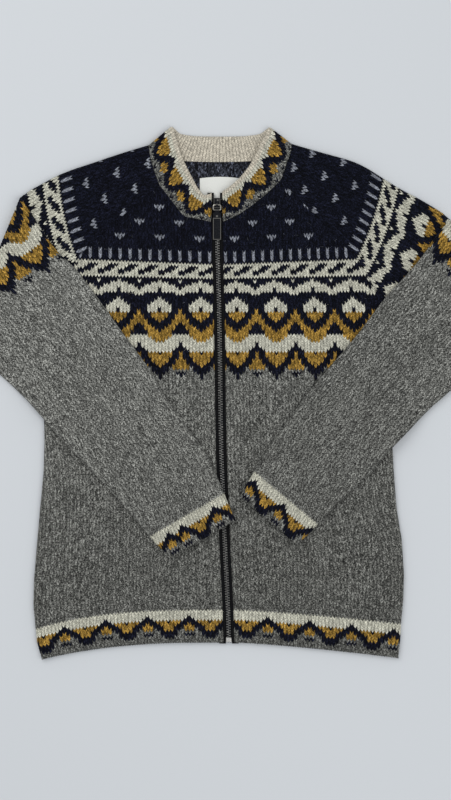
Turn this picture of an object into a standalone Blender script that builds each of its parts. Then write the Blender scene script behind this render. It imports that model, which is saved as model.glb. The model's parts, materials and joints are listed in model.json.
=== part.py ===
"""Knitted zip cardigan, laid flat on its back with both sleeves folded over the front.

Metres, +Z up, floor at z = 0. +Y points to the collar and +X to the right as seen from above. Tables are in
millimetres and are turned to metres where a mesh is made.
"""

import math
from collections import namedtuple

import bmesh
import bpy
import numpy as np
from mathutils import Matrix, Vector

MM = 0.001

# Walls and layers, in millimetres
KNIT = 2.6
COLLAR_KNIT = 3.6
CLEAR = 0.3
SEAM_INSET = 0.25
SEAM_SHIFT = 0.6
UNDERARM_STEP = 0.05
BACK_LEVEL = KNIT / 2
FRONT_LEVEL = BACK_LEVEL + 4.6
TUBE_HALF = (FRONT_LEVEL - BACK_LEVEL) / 2
TUBE_LEVEL = (FRONT_LEVEL + BACK_LEVEL) / 2
SIDE_CURL = 1.8
LAID_LEVEL = FRONT_LEVEL + KNIT / 2 + 2 * CLEAR + TUBE_HALF + KNIT / 2
CREASE_LEVEL = LAID_LEVEL + 1.0

# Zip sizes, in millimetres
ZIP_OPENING = 14.4
CHAIN_WIDTH = 7.7
CHAIN_THICK = 2.2
CHAIN_LIFT = 0.2
TAPE_REACH = 13.0
TAPE_THICK = 0.8
TAPE_LEVEL = 3.8
TAPE_TOP_LEVEL = 7.6
ZIP_HEM = -338.0
ZIP_RISE = 236.0
ZIP_TOP = 271.0
ROW_STEP = 24.0

SideRow = namedtuple("SideRow", "height outer droop")
SIDE_LEFT = (
    SideRow(-338, -245, 23),
    SideRow(-314, -252, 23),
    SideRow(-292, -254, 26),
    SideRow(-265, -257, 22),
    SideRow(-232, -256, 18),
    SideRow(-191, -252, 12),
    SideRow(-151, -248, 7),
    SideRow(-103, -243, 3),
    SideRow(-63, -242, 0),
    SideRow(-9, -243, 0),
    SideRow(45, -243, 0),
    SideRow(101, -242, 0),
)
SIDE_RIGHT = (
    SideRow(-338, 236, 21),
    SideRow(-314, 239, 20),
    SideRow(-292, 240, 19),
    SideRow(-265, 243, 16),
    SideRow(-232, 244, 12),
    SideRow(-191, 241, 8),
    SideRow(-151, 234, 5),
    SideRow(-103, 230, 2),
    SideRow(-63, 228, 0),
    SideRow(-9, 229, 0),
    SideRow(45, 231, 0),
    SideRow(91, 233, 0),
)
DROOP_POWER_LEFT = 3.0
DROOP_POWER_RIGHT = 1.3
BACK_DROOP_POWER = 2.5

Place = namedtuple("Place", "x y")
RAGLAN_LEFT = (
    Place(-242, 101),
    Place(-218, 146),
    Place(-200, 183),
    Place(-173, 207),
    Place(-146, 232),
    Place(-116, 257.5),
    Place(-86, 283),
)
RAGLAN_RIGHT = (
    Place(233, 91),
    Place(205, 142),
    Place(182, 180),
    Place(157, 206),
    Place(133, 232),
    Place(104, 261.5),
    Place(75, 291),
)
BACK_RAGLAN_LEFT = (
    Place(-242, 101),
    Place(-218, 146),
    Place(-200, 183),
    Place(-171, 215),
    Place(-141, 248),
    Place(-110, 283),
    Place(-79, 318),
)
BACK_RAGLAN_RIGHT = (
    Place(233, 91),
    Place(205, 142),
    Place(182, 180),
    Place(157, 214),
    Place(131, 250),
    Place(102, 284),
    Place(70, 318),
)
BACK_NECK_DIP = 6.4
NECK_LEFT = (Place(-16, 234), Place(-33, 238), Place(-52, 242), Place(-71, 267), Place(-84, 284))
NECK_RIGHT = (Place(-1, 234), Place(20, 245), Place(36, 256), Place(57, 273), Place(75, 291))
NECK_MIDDLE = Place(-5, 300)
NECK_CLEAR = 0.7
YOKE_STOP = 2.5

ZipPoint = namedtuple("ZipPoint", "y x")
ZIP_LINE = (
    ZipPoint(-340, 7.4),
    ZipPoint(-292, 6.1),
    ZipPoint(-252, 4.2),
    ZipPoint(-186, 0.9),
    ZipPoint(-137, -0.7),
    ZipPoint(-90, -2.8),
    ZipPoint(-20, -4.0),
    ZipPoint(63, -5.0),
    ZipPoint(126, -6.1),
    ZipPoint(190, -8.0),
    ZipPoint(234, -8.8),
    ZipPoint(275, -8.8),
)

# Sleeve sections: the shoulder edge, then the raglan or under edge, in plan
Section = namedtuple("Section", "sx sy ux uy")
SHOULDER_LEFT = (
    Place(-236, 288),
    Place(-225, 294),
    Place(-205, 302),
    Place(-180, 310),
    Place(-151, 320),
    Place(-126, 328),
    Place(-104, 334.5),
)
SHOULDER_RIGHT = (
    Place(240, 275),
    Place(216, 290),
    Place(188, 308),
    Place(167, 316),
    Place(144, 322),
    Place(119, 329),
    Place(93.5, 336.5),
)
NECK_END_LEFT = -2.0
NECK_END_RIGHT = 2.0
UNDER_LEFT = (Section(-245, 283, -275, 93), Section(-254, 278, -310, 85.5))
UNDER_RIGHT = (Section(262, 264, 266, 79), Section(281, 253, 304, 65))
Crease = namedtuple("Crease", "ax ay bx by way_x way_y")
CREASE_LEFT = Crease(-273, 268, -352, 76, -0.975, -0.22)
CREASE_RIGHT = Crease(306, 237, 352, 48, 0.942, -0.337)
CREASE_STEPS = 6
LAID_LEFT = (
    Section(-261, 246, -329, 51),
    Section(-249, 226, -302, 26),
    Section(-225, 191, -279, 5),
    Section(-200, 169, -257, -17),
    Section(-167, 125, -221, -59),
    Section(-132, 76, -187, -95),
    Section(-97, 29, -153, -130),
    Section(-75, -11, -133, -153),
    Section(-51, -43, -114, -175),
    Section(-24, -79, -97, -196),
    Section(-3, -125, -84, -210),
    Section(7, -151, -76, -215),
    Section(16, -171, -70, -221),
)
LAID_RIGHT = (
    Section(288, 217, 334, 30),
    Section(281, 203, 320, 16),
    Section(264, 179, 300, -2),
    Section(240, 152, 281, -18),
    Section(221, 133, 263, -36),
    Section(201, 106, 246, -54),
    Section(181, 79, 228, -72),
    Section(142, 34, 196, -109),
    Section(111, -3, 174, -129),
    Section(79, -47, 150, -151),
    Section(53, -86, 132, -171),
    Section(36, -115, 118, -186),
    Section(26, -130, 108, -196),
    Section(22, -140, 98, -203),
)
SAG = 6.6
SAG_START = 6.0
SAG_WIDTH = 38.0
WALL_COLUMNS = 7
PANEL_COLUMNS = 9
BACK_COLUMNS = 15

# Collar sections: the neck seam, then the top edge, and the height of the wall's middle at each
CollarRow = namedtuple("CollarRow", "bx by bz tx ty tz")
COLLAR_FRONT_LEFT = (
    CollarRow(-16, 234.5, 6.4, -16, 271, 10.5),
    CollarRow(-33, 238, 6.4, -26, 267, 10.6),
    CollarRow(-52, 242, 6.4, -34, 277, 10.9),
    CollarRow(-71, 267, 6.4, -44, 296, 10.9),
    CollarRow(-84, 284, 6.4, -53, 314, 10.4),
    CollarRow(-93, 309, 6.5, -60, 334, 9.4),
    CollarRow(-97.5, 328, 6.8, -64, 349, 8.0),
)
COLLAR_BACK = (
    CollarRow(-84, 326, 1.9, -59, 352, 2.1),
    CollarRow(-70, 317.5, 1.9, -50, 350, 2.2),
    CollarRow(-51, 314, 1.9, -38, 348.5, 2.4),
    CollarRow(-28, 313.2, 1.9, -22, 348, 2.6),
    CollarRow(-6, 313, 1.9, -6, 348, 2.6),
    CollarRow(16, 313.2, 1.9, 12, 348, 2.6),
    CollarRow(38, 314, 1.9, 29, 348.5, 2.4),
    CollarRow(59, 318.5, 1.9, 42, 350, 2.2),
    CollarRow(75, 327, 1.9, 51, 352, 2.1),
)
COLLAR_FRONT_RIGHT = (
    CollarRow(88.5, 328, 6.8, 56, 349, 8.0),
    CollarRow(83, 314, 6.5, 49, 337, 9.2),
    CollarRow(75, 291, 6.4, 41, 319, 10.2),
    CollarRow(57, 273, 6.4, 32, 304, 10.8),
    CollarRow(36, 256, 6.4, 22, 292, 10.9),
    CollarRow(20, 245, 6.4, 10, 281, 10.7),
    CollarRow(-1.5, 234.5, 6.4, -1.5, 273, 10.5),
)
CollarFold = namedtuple("CollarFold", "bx by tx ty")
COLLAR_FOLD_LEFT = CollarFold(-100, 336, -70, 361)
COLLAR_FOLD_RIGHT = CollarFold(91, 337, 62, 360)
COLLAR_FOLD_LOW = 1.9
COLLAR_FOLD_HIGH = 7.0
COLLAR_ROUNDS = (0.15, 0.4, 0.65, 0.88, 1.0)

# Label, in millimetres: left, right, bottom, top
LABEL_EDGES = (-32.0, 22.0, 260.0, 291.0)
LABEL_THICK = 0.6
LABEL_BOW = 2.0

# Slider, link and tab, in millimetres
SLIDER_Y = 257.2
SLIDER_LENGTH = 14.0
SLIDER_WIDTH = 8.8
PLATE_THICK = 1.2
PLATE_OFFSET = 2.0
POST_WIDTH = 3.0
POST_START = 5.7
BRIDGE_WIDTH = 3.0
BRIDGE_LENGTH = 5.8
BRIDGE_TOP = 6.2
LINK_BACK = 2.5
LINK_LIFT = 3.9
BRIDGE_BORE = 1.2
WIRE = 0.7
LINK_HALF_WIDTH = 5.1
LINK_CORNER = 1.6
TAB_AXIS_Y = 247.6
TAB_AXIS_Z = 8.8
TAB_LENGTH = 40.0
TAB_WIDTH = 11.0
TAB_THICK = 1.6
TAB_START = 3.6
TAB_END_RISE = 0.35
EYE_OUTER = 1.8
EYE_INNER = 1.05
EYE_WIDTH = 6.4
TAB_RIM = 0.9
RECESS_DEPTH = 0.35
RECESS_START = 10.6
RIVET_FROM_AXIS = 8.4
RIVET_RADIUS = 1.1
RIVET_RISE = 0.4
BOX_SIZE = (7.2, 6.2, 3.4)
BOX_PLACE = (7.0, -332.8)
CHAIN_BOTTOM = -329.2


def clear_scene():
    """Empties the file of objects."""
    for thing in list(bpy.data.objects):
        bpy.data.objects.remove(thing, do_unlink=True)


def new_collection(name):
    """A collection linked to the scene."""
    found = bpy.data.collections.new(name)
    bpy.context.scene.collection.children.link(found)
    return found


def finish(name, color, roughness, metallic=0.0):
    """A Principled material."""
    material = bpy.data.materials.new(name)
    material.use_nodes = True
    shader = material.node_tree.nodes["Principled BSDF"]
    shader.inputs["Base Color"].default_value = (*color, 1.0)
    shader.inputs["Roughness"].default_value = roughness
    shader.inputs["Metallic"].default_value = metallic
    return material


def add_object(name, mesh, parts, material=None):
    """Links a mesh object to a collection."""
    thing = bpy.data.objects.new(name, mesh)
    parts.objects.link(thing)
    if material:
        mesh.materials.append(material)
    return thing


def smoothstep(t):
    """0 below 0, 1 above 1, and a smooth rise between."""
    t = min(max(t, 0.0), 1.0)
    return t * t * (3.0 - 2.0 * t)


def x_at(places, y):
    """The x of an edge at a height, from points whose y rises."""
    return float(np.interp(y, [p.y for p in places], [p.x for p in places]))


def near_underarm(places):
    """An edge with one more point just above the underarm, where the side folds and tubes open out."""
    first, second = places[:2]
    x = first.x + (second.x - first.x) * UNDERARM_STEP
    y = first.y + (second.y - first.y) * UNDERARM_STEP
    return (first, Place(x, y), *places[1:])


def zip_x(y):
    """The x of the zip's middle."""
    return x_at(ZIP_LINE, y)


def zip_z(y):
    """The height of the tape's middle."""
    return float(np.interp(y, [ZIP_RISE, ZIP_TOP], [TAPE_LEVEL, TAPE_TOP_LEVEL]))


def grid_mesh(name, rows, joined=()):
    """Quads between rows of points in millimetres. A row in joined has its last point on its first."""
    shape = bmesh.new()
    made = []
    for index, row in enumerate(rows):
        points = [shape.verts.new(Vector(p) * MM) for p in (row[:-1] if index in joined else row)]
        if index in joined:
            points.append(points[0])
        made.append(points)
    for low, high in zip(made, made[1:]):
        for a, b, c, d in zip(low, low[1:], high[1:], high):
            shape.faces.new([p for k, p in enumerate((a, b, c, d)) if p not in (a, b, c, d)[:k]])
    mesh = bpy.data.meshes.new(name)
    shape.to_mesh(mesh)
    shape.free()
    return mesh


def cloth(name, rows, thickness, parts, material, joined=()):
    """A wall of even thickness on a grid of points along its middle."""
    thing = add_object(name, grid_mesh(name, rows, joined), parts, material)
    solid = thing.modifiers.new("wall", "SOLIDIFY")
    solid.thickness = thickness * MM
    solid.offset = 0.0
    solid.use_even_offset = True
    solid.use_rim = True
    return thing


def curl_columns(edge, side, level, down, amount):
    """Points from a flat panel round its side, towards the panel that it lies on."""
    turned = []
    for degrees in (30, 60, 90):
        angle = math.radians(degrees)
        turned.append((
            edge + side * SIDE_CURL * math.sin(angle),
            level + down * amount * SIDE_CURL * (1.0 - math.cos(angle)),
        ))
    return turned


def front_row(inner, outer, height, droop, power, side, curled):
    """One row of a front panel from its zip edge to its outer edge."""
    reach = outer - side * (KNIT / 2 if curled else SEAM_INSET)
    flat = reach - side * SIDE_CURL
    across = [(inner + (flat - inner) * k / (PANEL_COLUMNS - 1), FRONT_LEVEL) for k in range(PANEL_COLUMNS)]
    across += curl_columns(flat, side, FRONT_LEVEL, -1.0, 1.0 if curled else 0.0)
    row = []
    for x, z in across:
        share = (x - inner) / (outer - inner)
        row.append((x, height - droop * share ** power, z))
    return row


def front_panel(name, side_rows, raglan, neck, power, side, parts, material):
    """A front from hem to neck, with its zip edge, side fold, raglan edge and neckline."""
    rows = []
    for row in side_rows:
        inner = zip_x(row.height) + side * ZIP_OPENING / 2
        rows.append(front_row(inner, row.outer, row.height, row.droop, power, side, True))
    heights = sorted({p.y for p in near_underarm(raglan)[1:]} | {p.y for p in neck})
    top = raglan[-1].y - YOKE_STOP
    heights = [h for h in heights if h < top] + [top]
    for height in heights:
        inner = zip_x(height) + side * ZIP_OPENING / 2
        if height > neck[0].y:
            inner = x_at(neck, height) + side * SEAM_INSET
        rows.append(front_row(inner, x_at(raglan, height), height, 0.0, power, side, False))
    return cloth(name, rows, KNIT, parts, material)


def back_row(left, right, droop, curled):
    """One row of the back from its left edge to its right edge."""
    inset = KNIT / 2 if curled else SEAM_INSET
    amount = 1.0 if curled else 0.0
    start = left.x + inset + SIDE_CURL
    end = right.x - inset - SIDE_CURL
    middle = [(start + (end - start) * k / (BACK_COLUMNS - 1), BACK_LEVEL) for k in range(BACK_COLUMNS)]
    across = curl_columns(start, -1.0, BACK_LEVEL, 1.0, amount)[::-1] + middle
    across += curl_columns(end, 1.0, BACK_LEVEL, 1.0, amount)
    row = []
    for x, z in across:
        share = (x - left.x) / (right.x - left.x)
        lift = droop * (1.0 - abs(2.0 * share - 1.0) ** BACK_DROOP_POWER)
        row.append((x, left.y + (right.y - left.y) * share + lift, z))
    return row


def back_panel(parts, material):
    """The back from hem to neck, under both fronts."""
    rows = []
    for left, right in zip(SIDE_LEFT, SIDE_RIGHT):
        start = Place(left.outer, left.height - left.droop)
        end = Place(right.outer, right.height - right.droop)
        rows.append(back_row(start, end, (left.droop + right.droop) / 2, True))
    for left, right in zip(near_underarm(BACK_RAGLAN_LEFT)[1:-1], near_underarm(BACK_RAGLAN_RIGHT)[1:-1]):
        rows.append(back_row(left, right, 0.0, False))
    rows.append(back_row(BACK_RAGLAN_LEFT[-1], BACK_RAGLAN_RIGHT[-1], -BACK_NECK_DIP, False))
    return cloth("back", rows, KNIT, parts, material)


def across_sleeve(shoulder, under, base, out, seam_front=None, seam_back=None):
    """One ring of a flat sleeve, from the under edge over the front wall, the shoulder and the back wall.

    base(x, y) gives the middle of the tube there and out is the way from the middle to the back wall. Where
    the sleeve is joined to the body, the two walls end at their own seams and the ring stays open.
    """
    outward = Vector(out)

    def at(start, end, from_shoulder, wall):
        way = (end - start).normalized()
        spot = start + way * from_shoulder
        return tuple(base(spot.x, spot.y) + outward * wall)

    def wall_row(end, wall, curled):
        length = (end - shoulder).length
        first = TUBE_HALF + KNIT / 2
        last = length - (first if curled else TUBE_HALF + SEAM_INSET)
        steps = [first + (last - first) * k / (WALL_COLUMNS - 1) for k in range(WALL_COLUMNS)]
        row = [at(shoulder, end, s, wall * TUBE_HALF) for s in steps]
        turn = math.radians(45)
        if curled:
            row.append(at(shoulder, end, last + TUBE_HALF * math.sin(turn), wall * TUBE_HALF * math.cos(turn)))
            row.append(at(shoulder, end, last + TUBE_HALF, 0.0))
        else:
            row.append(at(shoulder, end, last + TUBE_HALF / 2, wall * TUBE_HALF))
            row.append(at(shoulder, end, last + TUBE_HALF, wall * TUBE_HALF))
        return row

    curled = seam_front is None
    front_end = under if curled else seam_front
    back_end = under if curled else seam_back
    ring = wall_row(front_end, -1.0, curled)[::-1]
    middle = (front_end + back_end) / 2
    centre = TUBE_HALF + KNIT / 2
    for degrees in (45, 90, 135):
        turn = math.radians(degrees)
        spot = centre - TUBE_HALF * math.sin(turn)
        ring.append(at(shoulder, middle, spot, -TUBE_HALF * math.cos(turn)))
    ring += wall_row(back_end, 1.0, curled)
    return ring


def sag_below(x, y, side, under_start, under_end):
    """How far a laid sleeve sinks beside the body, where nothing lies under it."""
    body_edge = -242.0 if side < 0 else 232.0
    beside = side * (x - body_edge)
    slope = (under_end.y - under_start.y) / (under_end.x - under_start.x)
    below = (under_start.y + slope * (x - under_start.x)) - y
    return SAG * smoothstep((min(beside, below) - SAG_START) / SAG_WIDTH)


def sleeve(name, side, shoulders, raglan, back_raglan, neck_end, unders, crease, laid, parts, material):
    """A raglan sleeve: under the shoulder, round its crease and back over the front to an open cuff."""
    def low(x, y):
        return Vector((x, y, TUBE_LEVEL))

    rows, joined = [], []
    steps = list(zip(*[near_underarm(edge) for edge in (shoulders, raglan, back_raglan)]))[::-1]
    for index, (shoulder, seam, back_seam) in enumerate(steps):
        shift = neck_end if index == 0 else side * SEAM_SHIFT
        rows.append(across_sleeve(
            Vector(shoulder), None, low, (0, 0, -1),
            Vector((seam.x + shift, seam.y)), Vector((back_seam.x + shift, back_seam.y)),
        ))
    for row in unders:
        joined.append(len(rows))
        rows.append(across_sleeve(Vector((row.sx, row.sy)), Vector((row.ux, row.uy)), low, (0, 0, -1)))

    start, end = Vector((crease.ax, crease.ay)), Vector((crease.bx, crease.by))
    along = (end - start).normalized()
    outward = Vector((-along.y, along.x))
    way = Vector((crease.way_x, crease.way_y)).normalized()
    if outward.dot(way) < 0:
        outward = -outward
    bend = (CREASE_LEVEL - TUBE_LEVEL) / 2
    reach = bend + TUBE_HALF + KNIT / 2
    slide = reach * way.dot(along) / way.dot(outward)
    for step in range(CREASE_STEPS + 1):
        turn = math.pi * step / CREASE_STEPS - math.pi / 2
        shift = along * slide * (2.0 * step / CREASE_STEPS - 1.0) - outward * reach
        out = (outward.x * math.cos(turn), outward.y * math.cos(turn), math.sin(turn))
        middle = (CREASE_LEVEL + TUBE_LEVEL) / 2

        def turned(x, y, out=out, middle=middle):
            return Vector((x, y, middle)) + Vector(out) * bend

        joined.append(len(rows))
        rows.append(across_sleeve(start + shift, end + shift, turned, out))

    under_start, under_end = raglan[0], Place(crease.bx, crease.by)
    lifts = [0.35] + [0.0] * (len(laid) - 1)
    for row, lift in zip(laid, lifts):
        def high(x, y, lift=lift):
            return Vector((x, y, LAID_LEVEL + lift - sag_below(x, y, side, under_start, under_end)))

        joined.append(len(rows))
        rows.append(across_sleeve(Vector((row.sx, row.sy)), Vector((row.ux, row.uy)), high, (0, 0, 1)))
    return cloth(name, rows, KNIT, parts, material, set(joined))


def towards_neck(x, y):
    """A neck seam point moved off the panels, towards the middle of the neck."""
    spot = Vector((x, y))
    way = Vector(NECK_MIDDLE) - spot
    return spot + way.normalized() * NECK_CLEAR


def collar_row(row, inset=True):
    """Points from the neck seam to the collar's top edge."""
    base = towards_neck(row.bx, row.by) if inset else Vector((row.bx, row.by))
    points = [(base.x, base.y, row.bz)]
    for share in COLLAR_ROUNDS:
        x = base.x + (row.tx - base.x) * share
        y = base.y + (row.ty - base.y) * share
        points.append((x, y, row.bz + (row.tz - row.bz) * math.sin(share * math.pi / 2)))
    return points


def collar_fold(fold, rising):
    """Rows round a side of the collar, where its front half turns over onto its back half."""
    base, top = Vector((fold.bx, fold.by)), Vector((fold.tx, fold.ty))
    along = (top - base).normalized()
    outward = Vector((-along.y, along.x))
    if outward.x * (base.x - NECK_MIDDLE.x) < 0:
        outward = -outward
    bend = (COLLAR_FOLD_HIGH - COLLAR_FOLD_LOW) / 2
    middle = (COLLAR_FOLD_HIGH + COLLAR_FOLD_LOW) / 2
    rows = []
    for degrees in (90, 45, 0, -45, -90):
        turn = math.radians(degrees)
        shift = outward * (bend * math.cos(turn) - bend - COLLAR_KNIT / 2)
        z = middle + bend * math.sin(turn)
        row = CollarRow(base.x + shift.x, base.y + shift.y, z, top.x + shift.x, top.y + shift.y, z)
        rows.append(collar_row(row, inset=False))
    return rows if rising else rows[::-1]


def collar_band(parts, material):
    """The stand collar from one zip edge round the neck to the other."""
    rows = [collar_row(row) for row in COLLAR_FRONT_LEFT]
    rows += collar_fold(COLLAR_FOLD_LEFT, True)
    rows += [collar_row(row, inset=False) for row in COLLAR_BACK]
    rows += collar_fold(COLLAR_FOLD_RIGHT, False)
    rows += [collar_row(row) for row in COLLAR_FRONT_RIGHT]
    return cloth("collar", rows, COLLAR_KNIT, parts, material)


def label(parts, material):
    """The woven label on the inside of the back neck."""
    left, right, bottom, top = LABEL_EDGES
    level = KNIT + CLEAR + LABEL_THICK / 2
    rows = []
    for y in np.linspace(bottom, top, 4):
        bow = LABEL_BOW * (y - bottom) / (top - bottom)
        row = []
        for x in np.linspace(left, right, 7):
            share = (x - left) / (right - left)
            row.append((x, y + bow * math.sin(math.pi * share), level))
        rows.append(row)
    return cloth("neck_label", rows, LABEL_THICK, parts, material)


def zip_heights(bottom, top):
    """Places along the zip, closer together where it rises to the collar."""
    flat = np.linspace(bottom, ZIP_RISE, int((ZIP_RISE - bottom) / ROW_STEP) + 1)
    return list(flat) + list(np.linspace(ZIP_RISE, top, 4)[1:])


def zip_strip(name, bottom, top, from_middle, to_middle, lift, thickness, parts, material):
    """A flat strip along the zip between two distances from its middle."""
    rows = []
    for y in zip_heights(bottom, top):
        middle, level = zip_x(y), zip_z(y) + lift
        rows.append([(middle + share, y, level) for share in (from_middle, to_middle)])
    return cloth(name, rows, thickness, parts, material)


def box_mesh(name, size, centre):
    """A box in millimetres round a centre."""
    shape = bmesh.new()
    bmesh.ops.create_cube(shape, size=1.0)
    bmesh.ops.scale(shape, vec=Vector(size) * MM, verts=shape.verts)
    bmesh.ops.translate(shape, vec=Vector(centre) * MM, verts=shape.verts)
    mesh = bpy.data.meshes.new(name)
    shape.to_mesh(mesh)
    shape.free()
    return mesh


def cylinder_mesh(name, radius, length, centre, turn, sides=24):
    """A cylinder in millimetres round a centre, turned from the Z axis."""
    shape = bmesh.new()
    bmesh.ops.create_cone(
        shape, cap_ends=True, segments=sides, radius1=radius * MM, radius2=radius * MM, depth=length * MM
    )
    bmesh.ops.transform(shape, matrix=turn, verts=shape.verts)
    bmesh.ops.translate(shape, vec=Vector(centre) * MM, verts=shape.verts)
    mesh = bpy.data.meshes.new(name)
    shape.to_mesh(mesh)
    shape.free()
    return mesh


def combine(thing, name, mesh, operation, cutters):
    """Joins a shape to an object, or cuts it from the object."""
    other = add_object(name, mesh, cutters)
    other.matrix_world = thing.matrix_world
    other.hide_render = True
    other.display_type = "WIRE"
    step = thing.modifiers.new(name, "BOOLEAN")
    step.object = other
    step.operation = operation
    step.solver = "EXACT"


def soften(thing, width, segments=2):
    """Rounds the sharp edges."""
    bevel = thing.modifiers.new("round", "BEVEL")
    bevel.width = width * MM
    bevel.segments = segments
    bevel.limit_method = "ANGLE"
    bevel.angle_limit = math.radians(50)
    return bevel


def zip_tilt():
    """The slope of the zip over the collar."""
    return math.atan2(TAPE_TOP_LEVEL - TAPE_LEVEL, ZIP_TOP - ZIP_RISE)


def slider_place():
    """Where the slider's middle is, and how it leans."""
    level = zip_z(SLIDER_Y) + CHAIN_LIFT
    place = Vector((zip_x(SLIDER_Y), SLIDER_Y, level)) * MM
    return Matrix.Translation(place) @ Matrix.Rotation(zip_tilt(), 4, "X")


def link_axis():
    """The middle of the link's upper bar, in millimetres."""
    return (slider_place() @ (Vector((0, -LINK_BACK, LINK_LIFT)) * MM)) / MM


def slider(parts, cutters, material):
    """The slider: two plates with a post between them, and a bridge that holds the link."""
    turn_x = Matrix.Rotation(math.radians(90), 4, "Y")
    mesh = box_mesh("zip_slider", (SLIDER_WIDTH, SLIDER_LENGTH, PLATE_THICK), (0, 0, PLATE_OFFSET))
    thing = add_object("zip_slider", mesh, parts, material)
    thing.matrix_world = slider_place()
    soften(thing, 0.4)
    plate = box_mesh("slider_under", (SLIDER_WIDTH, SLIDER_LENGTH, PLATE_THICK), (0, 0, -PLATE_OFFSET))
    combine(thing, "slider_under", plate, "UNION", cutters)
    post_length = SLIDER_LENGTH / 2 - POST_START - 0.1
    post_centre = (0, POST_START + post_length / 2, 0)
    post = box_mesh("slider_post", (POST_WIDTH, post_length, 2 * PLATE_OFFSET), post_centre)
    combine(thing, "slider_post", post, "UNION", cutters)
    low = PLATE_OFFSET
    bridge_size = (BRIDGE_WIDTH, BRIDGE_LENGTH, BRIDGE_TOP - low)
    bridge = box_mesh("slider_bridge", bridge_size, (0, -LINK_BACK, (BRIDGE_TOP + low) / 2))
    combine(thing, "slider_bridge", bridge, "UNION", cutters)
    bore = cylinder_mesh(
        "bridge_bore", BRIDGE_BORE, 2 * BRIDGE_WIDTH, (0, -LINK_BACK, LINK_LIFT), turn_x
    )
    combine(thing, "bridge_bore", bore, "DIFFERENCE", cutters)
    return thing


def pull_link(parts, material):
    """A closed wire link whose upper bar passes through the bridge."""
    axis = link_axis()
    length = math.hypot(axis.y - TAB_AXIS_Y, axis.z - TAB_AXIS_Z)
    dip = math.atan2(axis.z - TAB_AXIS_Z, axis.y - TAB_AXIS_Y)
    curve = bpy.data.curves.new("zip_pull_link", "CURVE")
    curve.dimensions = "3D"
    curve.bevel_depth = WIRE * MM
    curve.bevel_resolution = 2
    spline = curve.splines.new("POLY")
    points = []
    corners = ((1, 0, 90), (1, 1, 0), (-1, 1, -90), (-1, 0, 180))
    for side, down, start in corners:
        centre_x = side * (LINK_HALF_WIDTH - LINK_CORNER)
        centre_y = -length + LINK_CORNER if down else -LINK_CORNER
        for step in (0, 30, 60, 90):
            angle = math.radians(start - step)
            points.append((
                centre_x + LINK_CORNER * math.cos(angle), centre_y + LINK_CORNER * math.sin(angle), 0.0
            ))
    spline.points.add(len(points) - 1)
    for spot, point in zip(spline.points, points):
        spot.co = (*(Vector(point) * MM), 1.0)
    spline.use_cyclic_u = True
    thing = bpy.data.objects.new("zip_pull_link", curve)
    curve.materials.append(material)
    parts.objects.link(thing)
    thing.matrix_world = Matrix.Translation(axis * MM) @ Matrix.Rotation(dip, 4, "X")
    return thing


def pull_tab(parts, cutters, material):
    """The pull tab: a flat plate with a raised rim, a rivet, and an eye rolled round the link's lower bar."""
    turn_x = Matrix.Rotation(math.radians(90), 4, "Y")
    rest = TAPE_LEVEL + CHAIN_LIFT + CHAIN_THICK / 2 + TAB_END_RISE + TAB_THICK / 2
    dip = math.asin((TAB_AXIS_Z - rest) / TAB_LENGTH)
    plate_length = TAB_LENGTH - TAB_START
    mesh = box_mesh(
        "zip_pull_tab", (TAB_WIDTH, plate_length, TAB_THICK), (0, -TAB_START - plate_length / 2, 0)
    )
    thing = add_object("zip_pull_tab", mesh, parts, material)
    place = Vector((zip_x(TAB_AXIS_Y), TAB_AXIS_Y, TAB_AXIS_Z)) * MM
    thing.matrix_world = Matrix.Translation(place) @ Matrix.Rotation(dip, 4, "X")
    soften(thing, 0.3)
    neck_length = TAB_START + 1.0
    neck = box_mesh("tab_neck", (EYE_WIDTH, neck_length, TAB_THICK - 0.1), (0, -neck_length / 2, 0))
    combine(thing, "tab_neck", neck, "UNION", cutters)
    eye = cylinder_mesh("tab_eye", EYE_OUTER, EYE_WIDTH - 0.1, (0, 0, 0), turn_x)
    combine(thing, "tab_eye", eye, "UNION", cutters)
    bore = cylinder_mesh("tab_bore", EYE_INNER, 2 * EYE_WIDTH, (0, 0, 0), turn_x)
    combine(thing, "tab_bore", bore, "DIFFERENCE", cutters)
    recess_length = TAB_LENGTH - RECESS_START - TAB_RIM
    recess_size = (TAB_WIDTH - 2 * TAB_RIM, recess_length, 2 * RECESS_DEPTH)
    recess_centre = (0, -RECESS_START - recess_length / 2, TAB_THICK / 2)
    combine(thing, "tab_recess", box_mesh("tab_recess", recess_size, recess_centre), "DIFFERENCE", cutters)
    rivet = cylinder_mesh(
        "tab_rivet", RIVET_RADIUS, TAB_THICK + RIVET_RISE - 0.2,
        (0, -RIVET_FROM_AXIS, RIVET_RISE / 2 + 0.1), Matrix.Identity(4), 16,
    )
    combine(thing, "tab_rivet", rivet, "UNION", cutters)
    return thing


def bottom_box(parts, material):
    """The metal box that closes the zip at the hem."""
    x, y = BOX_PLACE
    centre = (x, y, KNIT + CLEAR + BOX_SIZE[2] / 2)
    thing = add_object("zip_bottom_box", box_mesh("zip_bottom_box", BOX_SIZE, centre), parts, material)
    soften(thing, 0.5)
    return thing


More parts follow.
